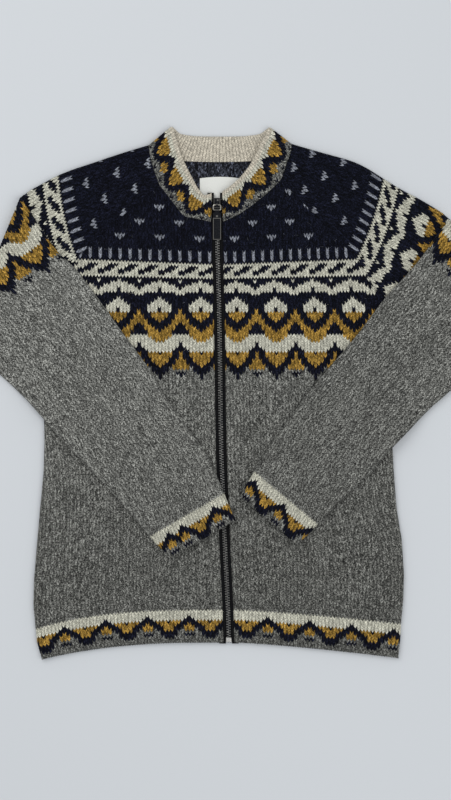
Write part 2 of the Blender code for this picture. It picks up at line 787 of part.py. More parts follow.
def main():
    """Builds the cardigan."""
    clear_scene()
    parts = new_collection("cardigan")
    cutters = new_collection("cutters")
    marl = finish("marl_knit", (0.17, 0.175, 0.16), 0.9)
    cream = finish("cream_knit", (0.55, 0.52, 0.44), 0.9)
    woven = finish("woven_label", (0.8, 0.8, 0.78), 0.7)
    tape = finish("zip_tape", (0.01, 0.01, 0.012), 0.8)
    gunmetal = finish("gunmetal", (0.12, 0.12, 0.13), 0.35, 1.0)
    silver = finish("nickel", (0.75, 0.75, 0.74), 0.3, 1.0)

    back_panel(parts, marl)
    front_panel("front_left", SIDE_LEFT, RAGLAN_LEFT, NECK_LEFT, DROOP_POWER_LEFT, -1.0, parts, marl)
    front_panel("front_right", SIDE_RIGHT, RAGLAN_RIGHT, NECK_RIGHT, DROOP_POWER_RIGHT, 1.0, parts, marl)
    sleeve(
        "sleeve_left", -1.0, SHOULDER_LEFT, RAGLAN_LEFT, BACK_RAGLAN_LEFT, NECK_END_LEFT,
        UNDER_LEFT, CREASE_LEFT, LAID_LEFT, parts, marl,
    )
    sleeve(
        "sleeve_right", 1.0, SHOULDER_RIGHT, RAGLAN_RIGHT, BACK_RAGLAN_RIGHT, NECK_END_RIGHT,
        UNDER_RIGHT, CREASE_RIGHT, LAID_RIGHT, parts, marl,
    )
    collar_band(parts, cream)
    label(parts, woven)

    tape_start = CHAIN_WIDTH / 2 + CLEAR
    zip_strip("zip_tape_left", ZIP_HEM, ZIP_TOP, -TAPE_REACH, -tape_start, 0.0, TAPE_THICK, parts, tape)
    zip_strip("zip_tape_right", ZIP_HEM, ZIP_TOP, tape_start, TAPE_REACH, 0.0, TAPE_THICK, parts, tape)
    chain_top = SLIDER_Y + POST_START - 2 * CLEAR
    zip_strip(
        "zip_chain", CHAIN_BOTTOM, chain_top, -CHAIN_WIDTH / 2, CHAIN_WIDTH / 2,
        CHAIN_LIFT, CHAIN_THICK, parts, gunmetal,
    )
    bottom_box(parts, silver)
    slider(parts, cutters, gunmetal)
    pull_link(parts, gunmetal)
    pull_tab(parts, cutters, gunmetal)


main()
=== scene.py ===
"""Looks of a knitted zip cardigan laid flat with its sleeves folded over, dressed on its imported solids.

The tables and formulas work in millimetres and are turned to metres where a mesh is made. The floor is z = 0,
+Y points to the collar and +X to the right as seen from above.
"""

import json
import logging
import math
from dataclasses import dataclass, field
from enum import Enum
from typing import Any, Callable, NamedTuple

import bmesh
import bpy
import numpy as np
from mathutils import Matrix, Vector

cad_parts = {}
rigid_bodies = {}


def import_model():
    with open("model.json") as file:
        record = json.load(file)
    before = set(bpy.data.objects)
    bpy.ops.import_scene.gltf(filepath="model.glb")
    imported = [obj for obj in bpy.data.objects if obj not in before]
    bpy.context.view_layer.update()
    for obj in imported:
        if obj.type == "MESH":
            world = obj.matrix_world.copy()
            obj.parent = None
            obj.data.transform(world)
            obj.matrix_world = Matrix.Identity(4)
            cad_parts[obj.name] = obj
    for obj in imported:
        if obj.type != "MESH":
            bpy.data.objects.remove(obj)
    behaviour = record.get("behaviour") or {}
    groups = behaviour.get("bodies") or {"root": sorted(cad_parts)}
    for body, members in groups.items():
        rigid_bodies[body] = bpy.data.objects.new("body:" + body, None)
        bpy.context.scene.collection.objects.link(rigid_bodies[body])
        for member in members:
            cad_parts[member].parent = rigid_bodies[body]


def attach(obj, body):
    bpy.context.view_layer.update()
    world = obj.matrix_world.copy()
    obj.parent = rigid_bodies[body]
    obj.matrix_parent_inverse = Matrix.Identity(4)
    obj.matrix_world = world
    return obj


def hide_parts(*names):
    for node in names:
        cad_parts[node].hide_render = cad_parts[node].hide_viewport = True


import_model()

log = logging.getLogger("cardigan")
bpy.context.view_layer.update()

MM = 0.001
SEED = 41

# Layers of the solids, in millimetres
KNIT = 2.6
FRONT_TOP = 7.2
TUBE_LEVEL = 3.6
TUBE_EDGE = 3.6
SIDE_CURL = 1.8
CURL_REACH = SIDE_CURL + KNIT / 2
CURL_BEND = (CURL_REACH + TUBE_EDGE) / 2
LAID_LEVEL = 11.4
BEND = 4.4
BEND_REACH = 8.0
BEND_LENGTH = 25.0
SETTLE = 1.0
SETTLE_WIDTH = 25.0
SAG = 6.6
SAG_START = 6.0
SAG_WIDTH = 38.0
ZIP_GAP = 14.4
EDGE_ROLL = 1.3
FLOOR_CLEAR = 0.12

# Knitting, in millimetres and rows
STITCH_RELIEF = 0.62
ROW_HEIGHT = 3.375
SLEEVE_ROW = 3.57
BORDER_ROW = 144
LAST_ROW = 157
HEM = -338.0
BACK_NECK = 318.0

# Shares of a stitch: its least size, the rise of its legs, and the depths between wales and inside a V
LEAST_CELL = 0.02
PEAK_RISE = 0.6
GROOVE_DEPTHS = (0.75, 0.3)

# How the lightness of the legs varies
SHADE_LIMITS = (-1.7, 1.4)
CLOUD_CELL = (6, 10)
CLOUD_DEPTH = 0.1
WALE_DEPTH = 0.12


class Place(NamedTuple):
    """A point seen from above."""

    x: float
    y: float


class SideRow(NamedTuple):
    """A row of a panel below the underarm: its height at the zip, its outer edge and its droop there."""

    height: float
    outer: float
    droop: float


class RowMark(NamedTuple):
    """A row of a panel and its height at the zip or at the middle."""

    row: float
    height: float


class Section(NamedTuple):
    """A section of a sleeve from its shoulder fold to its under fold."""

    sx: float
    sy: float
    ux: float
    uy: float


class CollarRow(NamedTuple):
    """A section of the collar: the neck seam, then the top edge, with the height of the wall's middle."""

    bx: float
    by: float
    bz: float
    tx: float
    ty: float
    tz: float


class Ridge(NamedTuple):
    """A soft crease from one place to another: its half width and its height, below 0 a trough."""

    ax: float
    ay: float
    bx: float
    by: float
    width: float
    height: float


SIDE_LEFT = (
    SideRow(-338, -245, 23), SideRow(-314, -252, 23), SideRow(-292, -254, 26), SideRow(-265, -257, 22),
    SideRow(-232, -256, 18), SideRow(-191, -252, 12), SideRow(-151, -248, 7), SideRow(-103, -243, 3),
    SideRow(-63, -242, 0), SideRow(-9, -243, 0), SideRow(45, -243, 0), SideRow(101, -242, 0),
)
SIDE_RIGHT = (
    SideRow(-338, 236, 21), SideRow(-314, 239, 20), SideRow(-292, 240, 19), SideRow(-265, 243, 16),
    SideRow(-232, 244, 12), SideRow(-191, 241, 8), SideRow(-151, 234, 5), SideRow(-103, 230, 2),
    SideRow(-63, 228, 0), SideRow(-9, 229, 0), SideRow(45, 231, 0), SideRow(91, 233, 0),
)
RAGLAN_LEFT = (
    Place(-242, 101), Place(-218, 146), Place(-200, 183), Place(-173, 207), Place(-146, 232),
    Place(-116, 257.5), Place(-86, 283),
)
RAGLAN_RIGHT = (
    Place(233, 91), Place(205, 142), Place(182, 180), Place(157, 206), Place(133, 232),
    Place(104, 261.5), Place(75, 291),
)
BACK_RAGLAN_LEFT = (
    Place(-242, 101), Place(-218, 146), Place(-200, 183), Place(-171, 215), Place(-141, 248),
    Place(-110, 283), Place(-79, 318),
)
BACK_RAGLAN_RIGHT = (
    Place(233, 91), Place(205, 142), Place(182, 180), Place(157, 214), Place(131, 250),
    Place(102, 284), Place(70, 318),
)
NECK_LEFT = (Place(-16, 234), Place(-33, 238), Place(-52, 242), Place(-71, 267), Place(-84, 284))
NECK_RIGHT = (Place(-1, 234), Place(20, 245), Place(36, 256), Place(57, 273), Place(75, 291))
ZIP_LINE = (
    Place(7.4, -340), Place(6.1, -292), Place(4.2, -252), Place(0.9, -186), Place(-0.7, -137),
    Place(-2.8, -90), Place(-4.0, -20), Place(-5.0, 63), Place(-6.1, 126), Place(-8.0, 190),
    Place(-8.8, 234), Place(-8.8, 275),
)
FRONT_ROWS = (
    RowMark(-40, 325.9), RowMark(0, 190.9), RowMark(5, 174.0), RowMark(20, 127.0), RowMark(51, 22.4),
    RowMark(BORDER_ROW, -292.3), RowMark(LAST_ROW, HEM + EDGE_ROLL),
)
BACK_ROWS = (
    RowMark(-40, 329.5), RowMark(0, 194.5), RowMark(51, 22.4), RowMark(BORDER_ROW, -292.3),
    RowMark(LAST_ROW, HEM),
)
ZIP_RISE = 236.0
ZIP_TOP = 271.0
TAPE_LEVEL = 3.8
TAPE_TOP_LEVEL = 7.6


class Yarn(Enum):
    """The dyed yarns, each with its place in the colour ramp."""

    MARL = 0
    NAVY = 1
    CREAM = 2
    GOLD = 3
    FLECK = 4
    INSIDE = 5
    RIM = 6


YARN_STEPS = 8
YARN_HEX = {
    Yarn.MARL: "#62625e",
    Yarn.NAVY: "#0d0f1a",
    Yarn.CREAM: "#b7b5a6",
    Yarn.GOLD: "#8b6d31",
    Yarn.FLECK: "#787b83",
    Yarn.INSIDE: "#2c2e35",
    Yarn.RIM: "#c0b8a8",
}
YARN_SPREAD = {
    Yarn.MARL: 0.36,
    Yarn.NAVY: 0.45,
    Yarn.CREAM: 0.16,
    Yarn.GOLD: 0.38,
    Yarn.FLECK: 0.22,
    Yarn.INSIDE: 0.95,
    Yarn.RIM: 0.1,
}
YARN_SPECK = {
    Yarn.MARL: 1.0,
    Yarn.NAVY: 0.9,
    Yarn.CREAM: 0.4,
    Yarn.GOLD: 0.6,
    Yarn.FLECK: 0.5,
    Yarn.INSIDE: 1.0,
    Yarn.RIM: 0.35,
}
LETTERS = {"M": Yarn.MARL, "N": Yarn.NAVY, "W": Yarn.CREAM, "G": Yarn.GOLD, "L": Yarn.FLECK, "R": Yarn.RIM}


def linear(code: str) -> tuple[float, float, float]:
    """Turns an sRGB hex colour to linear light.

    Args:
        code: The colour, such as "#6b6d68".

    Returns:
        Red, green and blue from 0 to 1.
    """
    parts = [int(code[k:k + 2], 16) / 255 for k in (1, 3, 5)]
    return tuple(p / 12.92 if p <= 0.04045 else ((p + 0.055) / 1.055) ** 2.4 for p in parts)


def smooth(t: Any) -> Any:
    """0 below 0, 1 above 1 and a smooth rise between."""
    t = np.clip(t, 0.0, 1.0)
    return t * t * (3.0 - 2.0 * t)


def x_at(places: tuple[Place, ...], y: Any) -> Any:
    """The x of an edge at a height, from places whose y rises."""
    return np.interp(y, [p.y for p in places], [p.x for p in places])


def zip_x(y: Any) -> Any:
    """The x of the zip's middle."""
    return x_at(ZIP_LINE, y)


def zip_z(y: Any) -> Any:
    """The height of the tape's middle."""
    return np.interp(y, [ZIP_RISE, ZIP_TOP], [TAPE_LEVEL, TAPE_TOP_LEVEL])


def row_height(marks: tuple[RowMark, ...], row: Any) -> Any:
    """The height of a row of a panel."""
    return np.interp(row, [mark.row for mark in marks], [mark.height for mark in marks])


def side_at(sides: tuple[SideRow, ...], height: np.ndarray) -> list[np.ndarray]:
    """The outer edge and the droop of a panel's side at a height."""
    heights = [row.height for row in sides]
    return [np.interp(height, heights, [getattr(row, key) for row in sides]) for key in ("outer", "droop")]


def measure(line: np.ndarray) -> np.ndarray:
    """Millimetres along a line from its first point to each of its points."""
    return np.concatenate(((0.0,), np.cumsum(np.linalg.norm(np.diff(line, axis=0), axis=1))))


def soften(values: np.ndarray, window: np.ndarray) -> np.ndarray:
    """Values averaged over a window, as if both ends ran on straight."""
    padded = np.pad(values, len(window) // 2, mode="reflect", reflect_type="odd")
    return np.convolve(padded, window, mode="valid")


def swell(ridges: tuple[Ridge, ...], x: np.ndarray, y: np.ndarray) -> np.ndarray:
    """The height that soft creases add to the cloth.

    Args:
        ridges: The creases, as given.
        x: Where the cloth is.
        y: Where the cloth is.

    Returns:
        The added height in millimetres.
    """
    lift = np.zeros(np.broadcast(x, y).shape)
    for ridge in ridges:
        way = np.array((ridge.bx - ridge.ax, ridge.by - ridge.ay))
        length = math.hypot(*way)
        way = way / length
        along = (x - ridge.ax) * way[0] + (y - ridge.ay) * way[1]
        beside = -(x - ridge.ax) * way[1] + (y - ridge.ay) * way[0]
        end = np.clip(along, 0.0, length) - along
        lift += ridge.height * np.exp(-(beside / ridge.width) ** 2 - (end / (1.6 * ridge.width)) ** 2)
    return lift


@dataclass(frozen=True)
class Chart:
    """A knitting chart: one text for each row, which repeats across.

    A text of the full repeat is used as it is, a shorter one is mirrored round its last stitch, and a single
    letter fills its row.
    """

    repeat: int
    rows: tuple[str, ...]

    def table(self) -> np.ndarray:
        """The yarn number of each stitch of the repeat, row by row."""
        lines = []
        for row in self.rows:
            if len(row) == 1:
                row = row * self.repeat
            elif len(row) < self.repeat:
                row = row + row[-2:0:-1]
            lines.append([LETTERS[letter].value for letter in row])
        return np.array(lines)


FLECKS = Chart(12, (
    "LLNNNNNNNNNL", "LNNNNNNNNNNN", "N", "N", "N", "N", "NNNNNLL", "NNNNNNL", "N", "N", "N", "N",
))
YOKE = Chart(12, (
    "LNNLNNLNNLNN", "LNNLNNLNNLNN", "LNNLNNLNNLNN", "LNNLNNLNNLNN", "N",
    "W", "WWWNNNWWWNNN", "WWNNNWWWNNNW", "NNNNWWNNNNWW", "NNWWWWNNWWWW", "W", "N",
    "WNNNNNW", "NNNNWWW", "NNWWWWW", "NWWWWWN", "WWWWWWN", "WWNNNNN", "N",
    "NNNNNNW", "NNNNNWW", "NNNNWWW", "NNNWWWW", "NNNWWWN",
    "GNNWWWN", "GNNNGGG", "GGNNGGG", "GGNNNGG", "GGGNNNG", "NGGNNNN", "NNGGNNN", "NNGGGNN",
    "NNNGGGN", "NNNGGGG", "WWWGGGG", "WWWWGGG", "WWWWWGG", "NWWWWWW", "NWWWWWW", "NNWWWWW",
    "NNNWWWW", "GNNGGGN", "GNNGGGG", "GNNNGGG", "GGNNGGG", "GGNNNGG", "GGGNNNG",
    "GGGMNNN", "MMMMNNN", "NNMMMNN", "NMMMMMN", "MMMMMMN",
))
BORDER = Chart(12, (
    "W", "W", "NWWWWWW", "NNWWWWW", "NNNGGGN", "GNNNGGG", "GGNNNGG", "GGMNNGG", "MMMMNNN", "NNMMNNN",
    "MMMMMNN", "M", "M",
))
COLLAR_CHART = Chart(10, (
    "R", "R", "W", "NWWWWW", "NNWGGG", "NNNGGG", "NNNGGG", "GNNNGG", "GGNNGG", "GGNNNG", "GMMNNN",
    "MMMMNN", "MMNMMM", "M",
))


def read_chart(chart: Chart, row: np.ndarray, column: np.ndarray) -> np.ndarray:
    """The yarn numbers of a chart at rows from 0 and at columns that repeat."""
    table = chart.table()
    return table[np.clip(row, 0, len(table) - 1), np.mod(column, chart.repeat)]


def garment_yarn(
    row: np.ndarray, column: np.ndarray, border_row: int, border_column: np.ndarray
) -> np.ndarray:
    """The yarn of each stitch from the neck down: flecks, yoke, marl and the border.

    Args:
        row: Row numbers, 0 at the yoke's top row of dashes.
        column: Column numbers in the yoke's chart.
        border_row: The row where the border starts.
        border_column: Column numbers in the border's chart.

    Returns:
        Yarn numbers.
    """
    flecks = read_chart(FLECKS, np.mod(row, len(FLECKS.rows)), column)
    found = np.where(row < 0, flecks, read_chart(YOKE, row, column))
    found = np.where(row >= len(YOKE.rows), Yarn.MARL.value, found)
    return np.where(row >= border_row, read_chart(BORDER, row - border_row, border_column), found)


# Places across and along the strand, at the four corners of a leg and at its peak
STRAND = np.array(((-1.0, 0.0), (1.0, 0.0), (1.0, 1.0), (-1.0, 1.0), (0.0, 0.5)))


@dataclass
class Knitting:
    """A knitted surface whose every stitch is a V of two raised legs.

    Rows are numbered towards the point of the V. Half columns are counted from the line where step is 0. A
    leg is a slanted four-cornered cell between two half columns, with its middle raised. The marl's lightness
    below the yoke and at the last row is painted light and shade, for how the light falls on each piece.
    """

    name: str
    rows: np.ndarray
    pitch: np.ndarray
    low: np.ndarray
    high: np.ndarray
    where: Callable[[np.ndarray, np.ndarray], np.ndarray]
    yarn: Callable[[np.ndarray, np.ndarray], np.ndarray]
    facing: float
    relief: float = STITCH_RELIEF
    # Painted light and shade: the marl's lightness below the yoke and at the last row
    marl_painted_light: tuple[float, float] = (1.0, 1.0)
    seed: int = SEED
    area: float = 0.0
    tufts: list[np.ndarray] = field(default_factory=list)

    def build(self) -> bpy.types.Object:
        """Makes the mesh with its yarn, shade and strand attributes.

        Returns:
            The new object.
        """
        half = self.pitch / 2
        first = int(np.floor(np.min(self.low / half))) - 1
        first -= first % 2
        last = int(np.ceil(np.max(self.high / half))) + 1
        count = last - first + 1
        steps = np.arange(first, last + 1)[None, :] * half[:, None]
        high = np.maximum(self.high, self.low)
        rows = self.rows[:, None]
        flat = self.where(rows, np.clip(steps, self.low[:, None], high[:, None])).reshape(-1, 3)
        tips = self.normals(self.where(rows, steps)).reshape(-1, 3)

        start = np.clip(np.floor(self.low / half).astype(int) - first, 0, count - 1)
        stop = np.clip(np.ceil(high / half).astype(int) - first, 0, count - 1)
        column = np.clip(np.arange(count)[None, :], start[:, None], np.maximum(stop, start)[:, None])
        corners = self.cells(np.arange(len(rows))[:, None] * count + column, first)
        a, b, c, d = flat[corners].transpose(1, 0, 2)
        spread = np.cross(c - a, d - b)
        area = np.linalg.norm(spread, axis=1) / 2
        top = np.arange(-1, len(rows) - 1)
        above = np.clip(top, 0, None)
        whole = np.repeat(half[above] * ROW_HEIGHT, count - 1)
        kept = area > LEAST_CELL * whole
        corners, area, whole = corners[kept], area[kept], whole[kept]
        self.area = float(area.sum()) * MM * MM

        left = np.arange(first, last)
        lean = np.tile(left % 2, len(rows))[kept]
        stitch = np.tile((left - left % 2) // 2, len(rows))[kept]
        row = np.repeat(self.rows[above] + np.minimum(top, 0), count - 1)[kept]
        yarn = self.yarn(np.round(row).astype(int), stitch)
        shade = self.shades((len(rows), count - 1)).reshape(-1)[kept]
        shade = np.exp(np.clip(shade, *SHADE_LIMITS) * np.array([YARN_SPREAD[y] for y in Yarn])[yarn])
        # Painted light and shade: the marl grows lighter towards the yoke and darker towards the last row,
        # piece by piece
        marl_painted_light = np.interp(row, (len(YOKE.rows), self.rows[-1]), self.marl_painted_light)
        shade *= np.where(yarn == Yarn.MARL.value, marl_painted_light, 1.0)

        lift = self.relief * np.clip(area / whole, 0.0, 1.0)[:, None]
        up = tips[corners].mean(axis=1)
        up /= np.maximum(np.linalg.norm(up, axis=1, keepdims=True), 1e-9)
        middle = flat[corners].mean(axis=1) + up * lift * PEAK_RISE
        sunk = np.where(np.arange(first, last + 1) % 2 == 0, *GROOVE_DEPTHS)
        flat = flat - tips * (self.relief * np.tile(sunk, len(rows)))[:, None]
        vertices = np.concatenate((flat, middle))
        vertices[:, 2] = np.maximum(vertices[:, 2], FLOOR_CLEAR)
        self.tufts = [middle, up, yarn]
        triangles, strands, owner = self.tents(corners, len(flat) + np.arange(len(corners)), lean)
        return self.mesh(vertices, triangles, strands, yarn[owner], shade[owner], len(flat))

    def normals(self, points: np.ndarray) -> np.ndarray:
        """The outward normal at each point of the grid."""
        normal = np.cross(np.gradient(points, axis=1), np.gradient(points, axis=0)) * self.facing
        return normal / np.maximum(np.linalg.norm(normal, axis=2, keepdims=True), 1e-9)

    def cells(self, ident: np.ndarray, first: int) -> np.ndarray:
        """The four corners of every leg, row by row.

        Args:
            ident: Point numbers by row and half column.
            first: The first half column.

        Returns:
            Point numbers, four for each leg.
        """
        count, wide = ident.shape
        top = np.arange(-1, count - 1)[:, None]
        left = np.arange(wide - 1)[None, :]
        lean = (left + first) % 2
        places = ((lean, left), (lean + 1, left), (2 - lean, left + 1), (1 - lean, left + 1))
        found = [ident[np.clip(top + below, 0, count - 1), at + 0 * top] for below, at in places]
        return np.stack(found, axis=-1).reshape(-1, 4)

    def tents(
        self, corners: np.ndarray, peak: np.ndarray, lean: np.ndarray
    ) -> tuple[np.ndarray, np.ndarray, np.ndarray]:
        """Lays four triangles round each leg's raised middle.

        Args:
            corners: The four corners of each leg.
            peak: The point number of each leg's middle.
            lean: Which way each leg slants, 0 or 1.

        Returns:
            Triangles, the place of their corners on the strand, and the leg of each triangle.
        """
        triangles, strands, owners = [], [], []
        for one in range(4):
            two = (one + 1) % 4
            keep = corners[:, one] != corners[:, two]
            order = (one, two) if self.facing < 0 else (two, one)
            laid = np.broadcast_to(STRAND[[4, *order]], (int(keep.sum()), 3, 2)).copy()
            laid[lean[keep] == 1, :, 1] = 1.0 - laid[lean[keep] == 1, :, 1]
            triangles.append(np.stack((peak, *(corners[:, k] for k in order)), axis=1)[keep])
            strands.append(laid)
            owners.append(np.flatnonzero(keep))
        return np.concatenate(triangles), np.concatenate(strands), np.concatenate(owners)

    def shades(self, shape: tuple[int, int]) -> np.ndarray:
        """Chance lightness for each leg, with faint clouds and wales as the blended fibres vary."""
        chance = np.random.default_rng(self.seed)
        legs = chance.normal(size=shape)
        rows, halves = CLOUD_CELL
        cloud = chance.normal(size=(shape[0] // rows + 1, shape[1] // halves + 1))
        cloud = np.repeat(np.repeat(cloud, rows, 0), halves, 1)[:shape[0], :shape[1]]
        wale = np.repeat(chance.normal(size=(1, shape[1] // 2 + 1)), 2, 1)[:, :shape[1]]
        return legs + CLOUD_DEPTH * cloud + WALE_DEPTH * wale

    def mesh(
        self, vertices: np.ndarray, triangles: np.ndarray, strands: np.ndarray, yarn: np.ndarray,
        shade: np.ndarray, outline: int,
    ) -> bpy.types.Object:
        """Makes the object from its arrays.

        Args:
            vertices: Points in millimetres.
            triangles: Three point numbers for each face.
            strands: Place across and along the leg for each corner of each face.
            yarn: Yarn number of each face.
            shade: Lightness factor of each face.
            outline: How many of the points are corners of legs, which come first.

        Returns:
            The object.
        """
        used, flat = np.unique(triangles, return_inverse=True)
        corners = int(np.searchsorted(used, outline))
        made = new_mesh(self.name, vertices[used], flat.reshape(-1, 3))
        mark_faces(made, yarn, shade)
        made.uv_layers.new(name="strand").data.foreach_set("uv", strands.reshape(-1))
        ends = np.zeros(len(made.edges) * 2, dtype=np.int32)
        made.edges.foreach_get("vertices", ends)
        sharp = (ends.reshape(-1, 2) < corners).all(axis=1)
        made.attributes.new("sharp_edge", "BOOLEAN", "EDGE").data.foreach_set("value", sharp)
        return new_object(self.name, made)


def new_mesh(name: str, vertices: np.ndarray, triangles: np.ndarray) -> bpy.types.Mesh:
    """Makes a smooth mesh of triangles from points in millimetres."""
    made = bpy.data.meshes.new(name)
    made.vertices.add(len(vertices))
    made.vertices.foreach_set("co", (vertices * MM).astype(np.float32).reshape(-1))
    made.loops.add(len(triangles) * 3)
    made.loops.foreach_set("vertex_index", triangles.astype(np.int32).reshape(-1))
    made.polygons.add(len(triangles))
    made.polygons.foreach_set("loop_start", np.arange(len(triangles), dtype=np.int32) * 3)
    made.update(calc_edges=True)
    made.shade_smooth()
    return made


def mark_faces(mesh: bpy.types.Mesh, yarn: np.ndarray, shade: np.ndarray) -> None:
    """Stores each face's yarn, as its place in the colour ramp, and its lightness."""
    for name, values in (("yarn", (yarn + 0.5) / YARN_STEPS), ("shade", shade)):
        mesh.attributes.new(name, "FLOAT", "FACE").data.foreach_set("value", values)


def new_object(name: str, mesh: bpy.types.ID) -> bpy.types.Object:
    """Links a new object to the scene."""
    thing = bpy.data.objects.new(name, mesh)
    bpy.context.scene.collection.objects.link(thing)
    return thing


def sew_on(thing: bpy.types.Object, material: bpy.types.Material) -> None:
    """Gives a new piece its finish, on the body that the cloth makes up."""
    thing.data.materials.append(material)
    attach(thing, "root")


def feed(tree: bpy.types.NodeTree, node: bpy.types.Node, inputs: dict[Any, Any]) -> None:
    """Sets or links a node's inputs.

    Args:
        tree: The material's node tree.
        node: The node.
        inputs: For each input a number, a colour, a node's output, or a node whose first output it takes.
    """
    for key, value in inputs.items():
        if isinstance(value, bpy.types.Node):
            value = value.outputs[0]
        if isinstance(value, bpy.types.NodeSocket):
            tree.links.new(value, node.inputs[key])
        else:
            node.inputs[key].default_value = value


def add_node(
    tree: bpy.types.NodeTree, kind: str, settings: dict[str, Any], inputs: dict[Any, Any]
) -> bpy.types.Node:
    """Adds a node with its settings and links.

    Args:
        tree: The material's node tree.
        kind: The node's type, after "ShaderNode".
        settings: Its properties.
        inputs: What feeds each of its inputs.

    Returns:
        The node.
    """
    node = tree.nodes.new("ShaderNode" + kind)
    for key, value in settings.items():
        setattr(node, key, value)
    feed(tree, node, inputs)
    return node


def start_material(name: str) -> tuple[bpy.types.Material, bpy.types.NodeTree, bpy.types.Node]:
    """A new material, its node tree and its shader."""
    material = bpy.data.materials.new(name)
    material.use_nodes = True
    tree = material.node_tree
    return material, tree, tree.nodes["Principled BSDF"]


@dataclass(frozen=True)
class WoollenSpunWool:
    """Woollen-spun wool, dyed in the fleece and knitted plain with a second yarn stranded behind.

    Fibres of several shades are blended before spinning, so each leg of a stitch has its own lightness, and
    the loose fibres scatter light at grazing angles like a thin haze.
    """

    name: str = "wool_woollen_spun_knitted"
    fibre_mm: float = 1.7
    speck_reach: float = 0.09
    speck_depth: float = 0.8
    plies: float = 3.0
    ply_share: float = 0.35
    twist_depth_mm: float = 0.16
    strand_light: float = 1.08
    strand_shadow: float = 0.5
    wale_light: float = 1.1
    wale_shadow: float = 0.62
    roughness: float = 0.92

    def dye(self, tree: bpy.types.NodeTree) -> bpy.types.Node:
        """The ramp of yarn colours, whose alpha holds how strongly each yarn is specked."""
        yarn = add_node(tree, "Attribute", {"attribute_name": "yarn"}, {})
        ramp = add_node(tree, "ValToRGB", {}, {"Fac": yarn.outputs["Fac"]})
        ramp.color_ramp.interpolation = "CONSTANT"
        stops = ramp.color_ramp.elements
        for dyed in Yarn:
            stop = stops[dyed.value] if dyed.value < 2 else stops.new(dyed.value / YARN_STEPS)
            stop.position = dyed.value / YARN_STEPS
            stop.color = (*linear(YARN_HEX[dyed]), YARN_SPECK[dyed])
        return ramp

    def material(self) -> bpy.types.Material:
        """The yarn's colours, its groove shadows, its twist and its fibre haze.

        Real fibres are about 0.03 mm, too fine to show, so their specks are drawn fibre_mm wide.
        """
        material, tree, shader = start_material(self.name)
        ramp = self.dye(tree)
        place = add_node(tree, "TexCoord", {}, {})
        fibre = add_node(tree, "TexNoise", {}, {
            "Vector": place.outputs["Object"], "Scale": 1.0 / (self.fibre_mm * MM), "Detail": 2.0,
            "Roughness": 0.6,
        })
        speck = add_node(tree, "MapRange", {}, {
            "Value": fibre.outputs["Fac"],
            "From Min": 0.5 - self.speck_reach, "From Max": 0.5 + self.speck_reach,
            "To Min": -self.speck_depth, "To Max": self.speck_depth,
        })
        speck = add_node(tree, "Math", {"operation": "MULTIPLY_ADD"}, {
            0: speck, 1: ramp.outputs["Alpha"], 2: 1.0,
        })
        split = add_node(tree, "SeparateXYZ", {}, {0: add_node(tree, "UVMap", {"uv_map": "strand"}, {})})
        beside = add_node(tree, "Math", {"operation": "ABSOLUTE"}, {0: split.outputs["X"]})
        edge = add_node(tree, "Math", {"operation": "POWER"}, {0: beside, 1: 3.0})
        groove = add_node(tree, "MapRange", {}, {
            "Value": edge, "To Min": self.strand_light, "To Max": self.strand_shadow,
        })
        wale = add_node(tree, "MapRange", {"interpolation_type": "SMOOTHSTEP"}, {
            "Value": split.outputs["Y"], "From Max": 0.45,
            "To Min": self.wale_shadow, "To Max": self.wale_light,
        })
        light = add_node(tree, "Attribute", {"attribute_name": "shade"}, {}).outputs["Fac"]
        for factor in (groove, wale, speck):
            light = add_node(tree, "Math", {"operation": "MULTIPLY"}, {0: light, 1: factor})
        dyed = add_node(tree, "VectorMath", {"operation": "SCALE"}, {0: ramp, "Scale": light})
        turn = add_node(tree, "Math", {"operation": "MULTIPLY_ADD"}, {
            0: split.outputs["Y"], 1: self.plies * math.pi, 2: split.outputs["X"],
        })
        ply = add_node(tree, "Math", {"operation": "SINE"}, {0: turn})
        rough = add_node(tree, "Math", {"operation": "MULTIPLY_ADD"}, {
            0: ply, 1: self.ply_share, 2: fibre.outputs["Fac"],
        })
        bump = add_node(tree, "Bump", {}, {
            "Strength": 0.7, "Distance": self.twist_depth_mm * MM, "Height": rough,
        })
        feed(tree, shader, {
            "Base Color": dyed, "Normal": bump, "Roughness": self.roughness, "Specular IOR Level": 0.08,
            "Sheen Weight": 0.03, "Sheen Roughness": 0.55,
        })
        return material


@dataclass(frozen=True)
class WovenTape:
    """Polyester zip tape, woven in herringbone: fine slanting ribs that only dull the black."""

    name: str
    colour: str
    rib_mm: float
    contrast: float
    roughness: float = 0.8
    rib_depth_mm: float = 0.2

    def material(self) -> bpy.types.Material:
        """Slanting ribs, drawn a little coarser than real so that they show."""
        material, tree, shader = start_material(self.name)
        place = add_node(tree, "TexCoord", {}, {})
        wave = add_node(tree, "TexWave", {"bands_direction": "DIAGONAL"}, {
            "Vector": place.outputs["Object"], "Scale": 0.31 / (self.rib_mm * MM), "Distortion": 0.6,
            "Detail": 1.0,
        })
        base = linear(self.colour)
        low = (*(c * (1 - self.contrast) for c in base), 1.0)
        high = (*(min(1.0, c * (1 + self.contrast)) for c in base), 1.0)
        mix = add_node(tree, "Mix", {"data_type": "RGBA"}, {0: wave.outputs["Fac"], 6: low, 7: high})
        bump = add_node(tree, "Bump", {}, {
            "Strength": 0.6, "Distance": self.rib_depth_mm * MM, "Height": wave.outputs["Fac"],
        })
        feed(tree, shader, {
            "Base Color": mix.outputs[2], "Normal": bump, "Roughness": self.roughness,
            "Specular IOR Level": 0.15,
        })
        return material


class PaintedHighlightLine(NamedTuple):
    """A painted highlight along a line just inside a box, where an edge of the dark plating catches the
    light; a box as small is a painted glint dot.
    """

    x: float
    y: float
    half_x: float
    half_y: float
    width: float


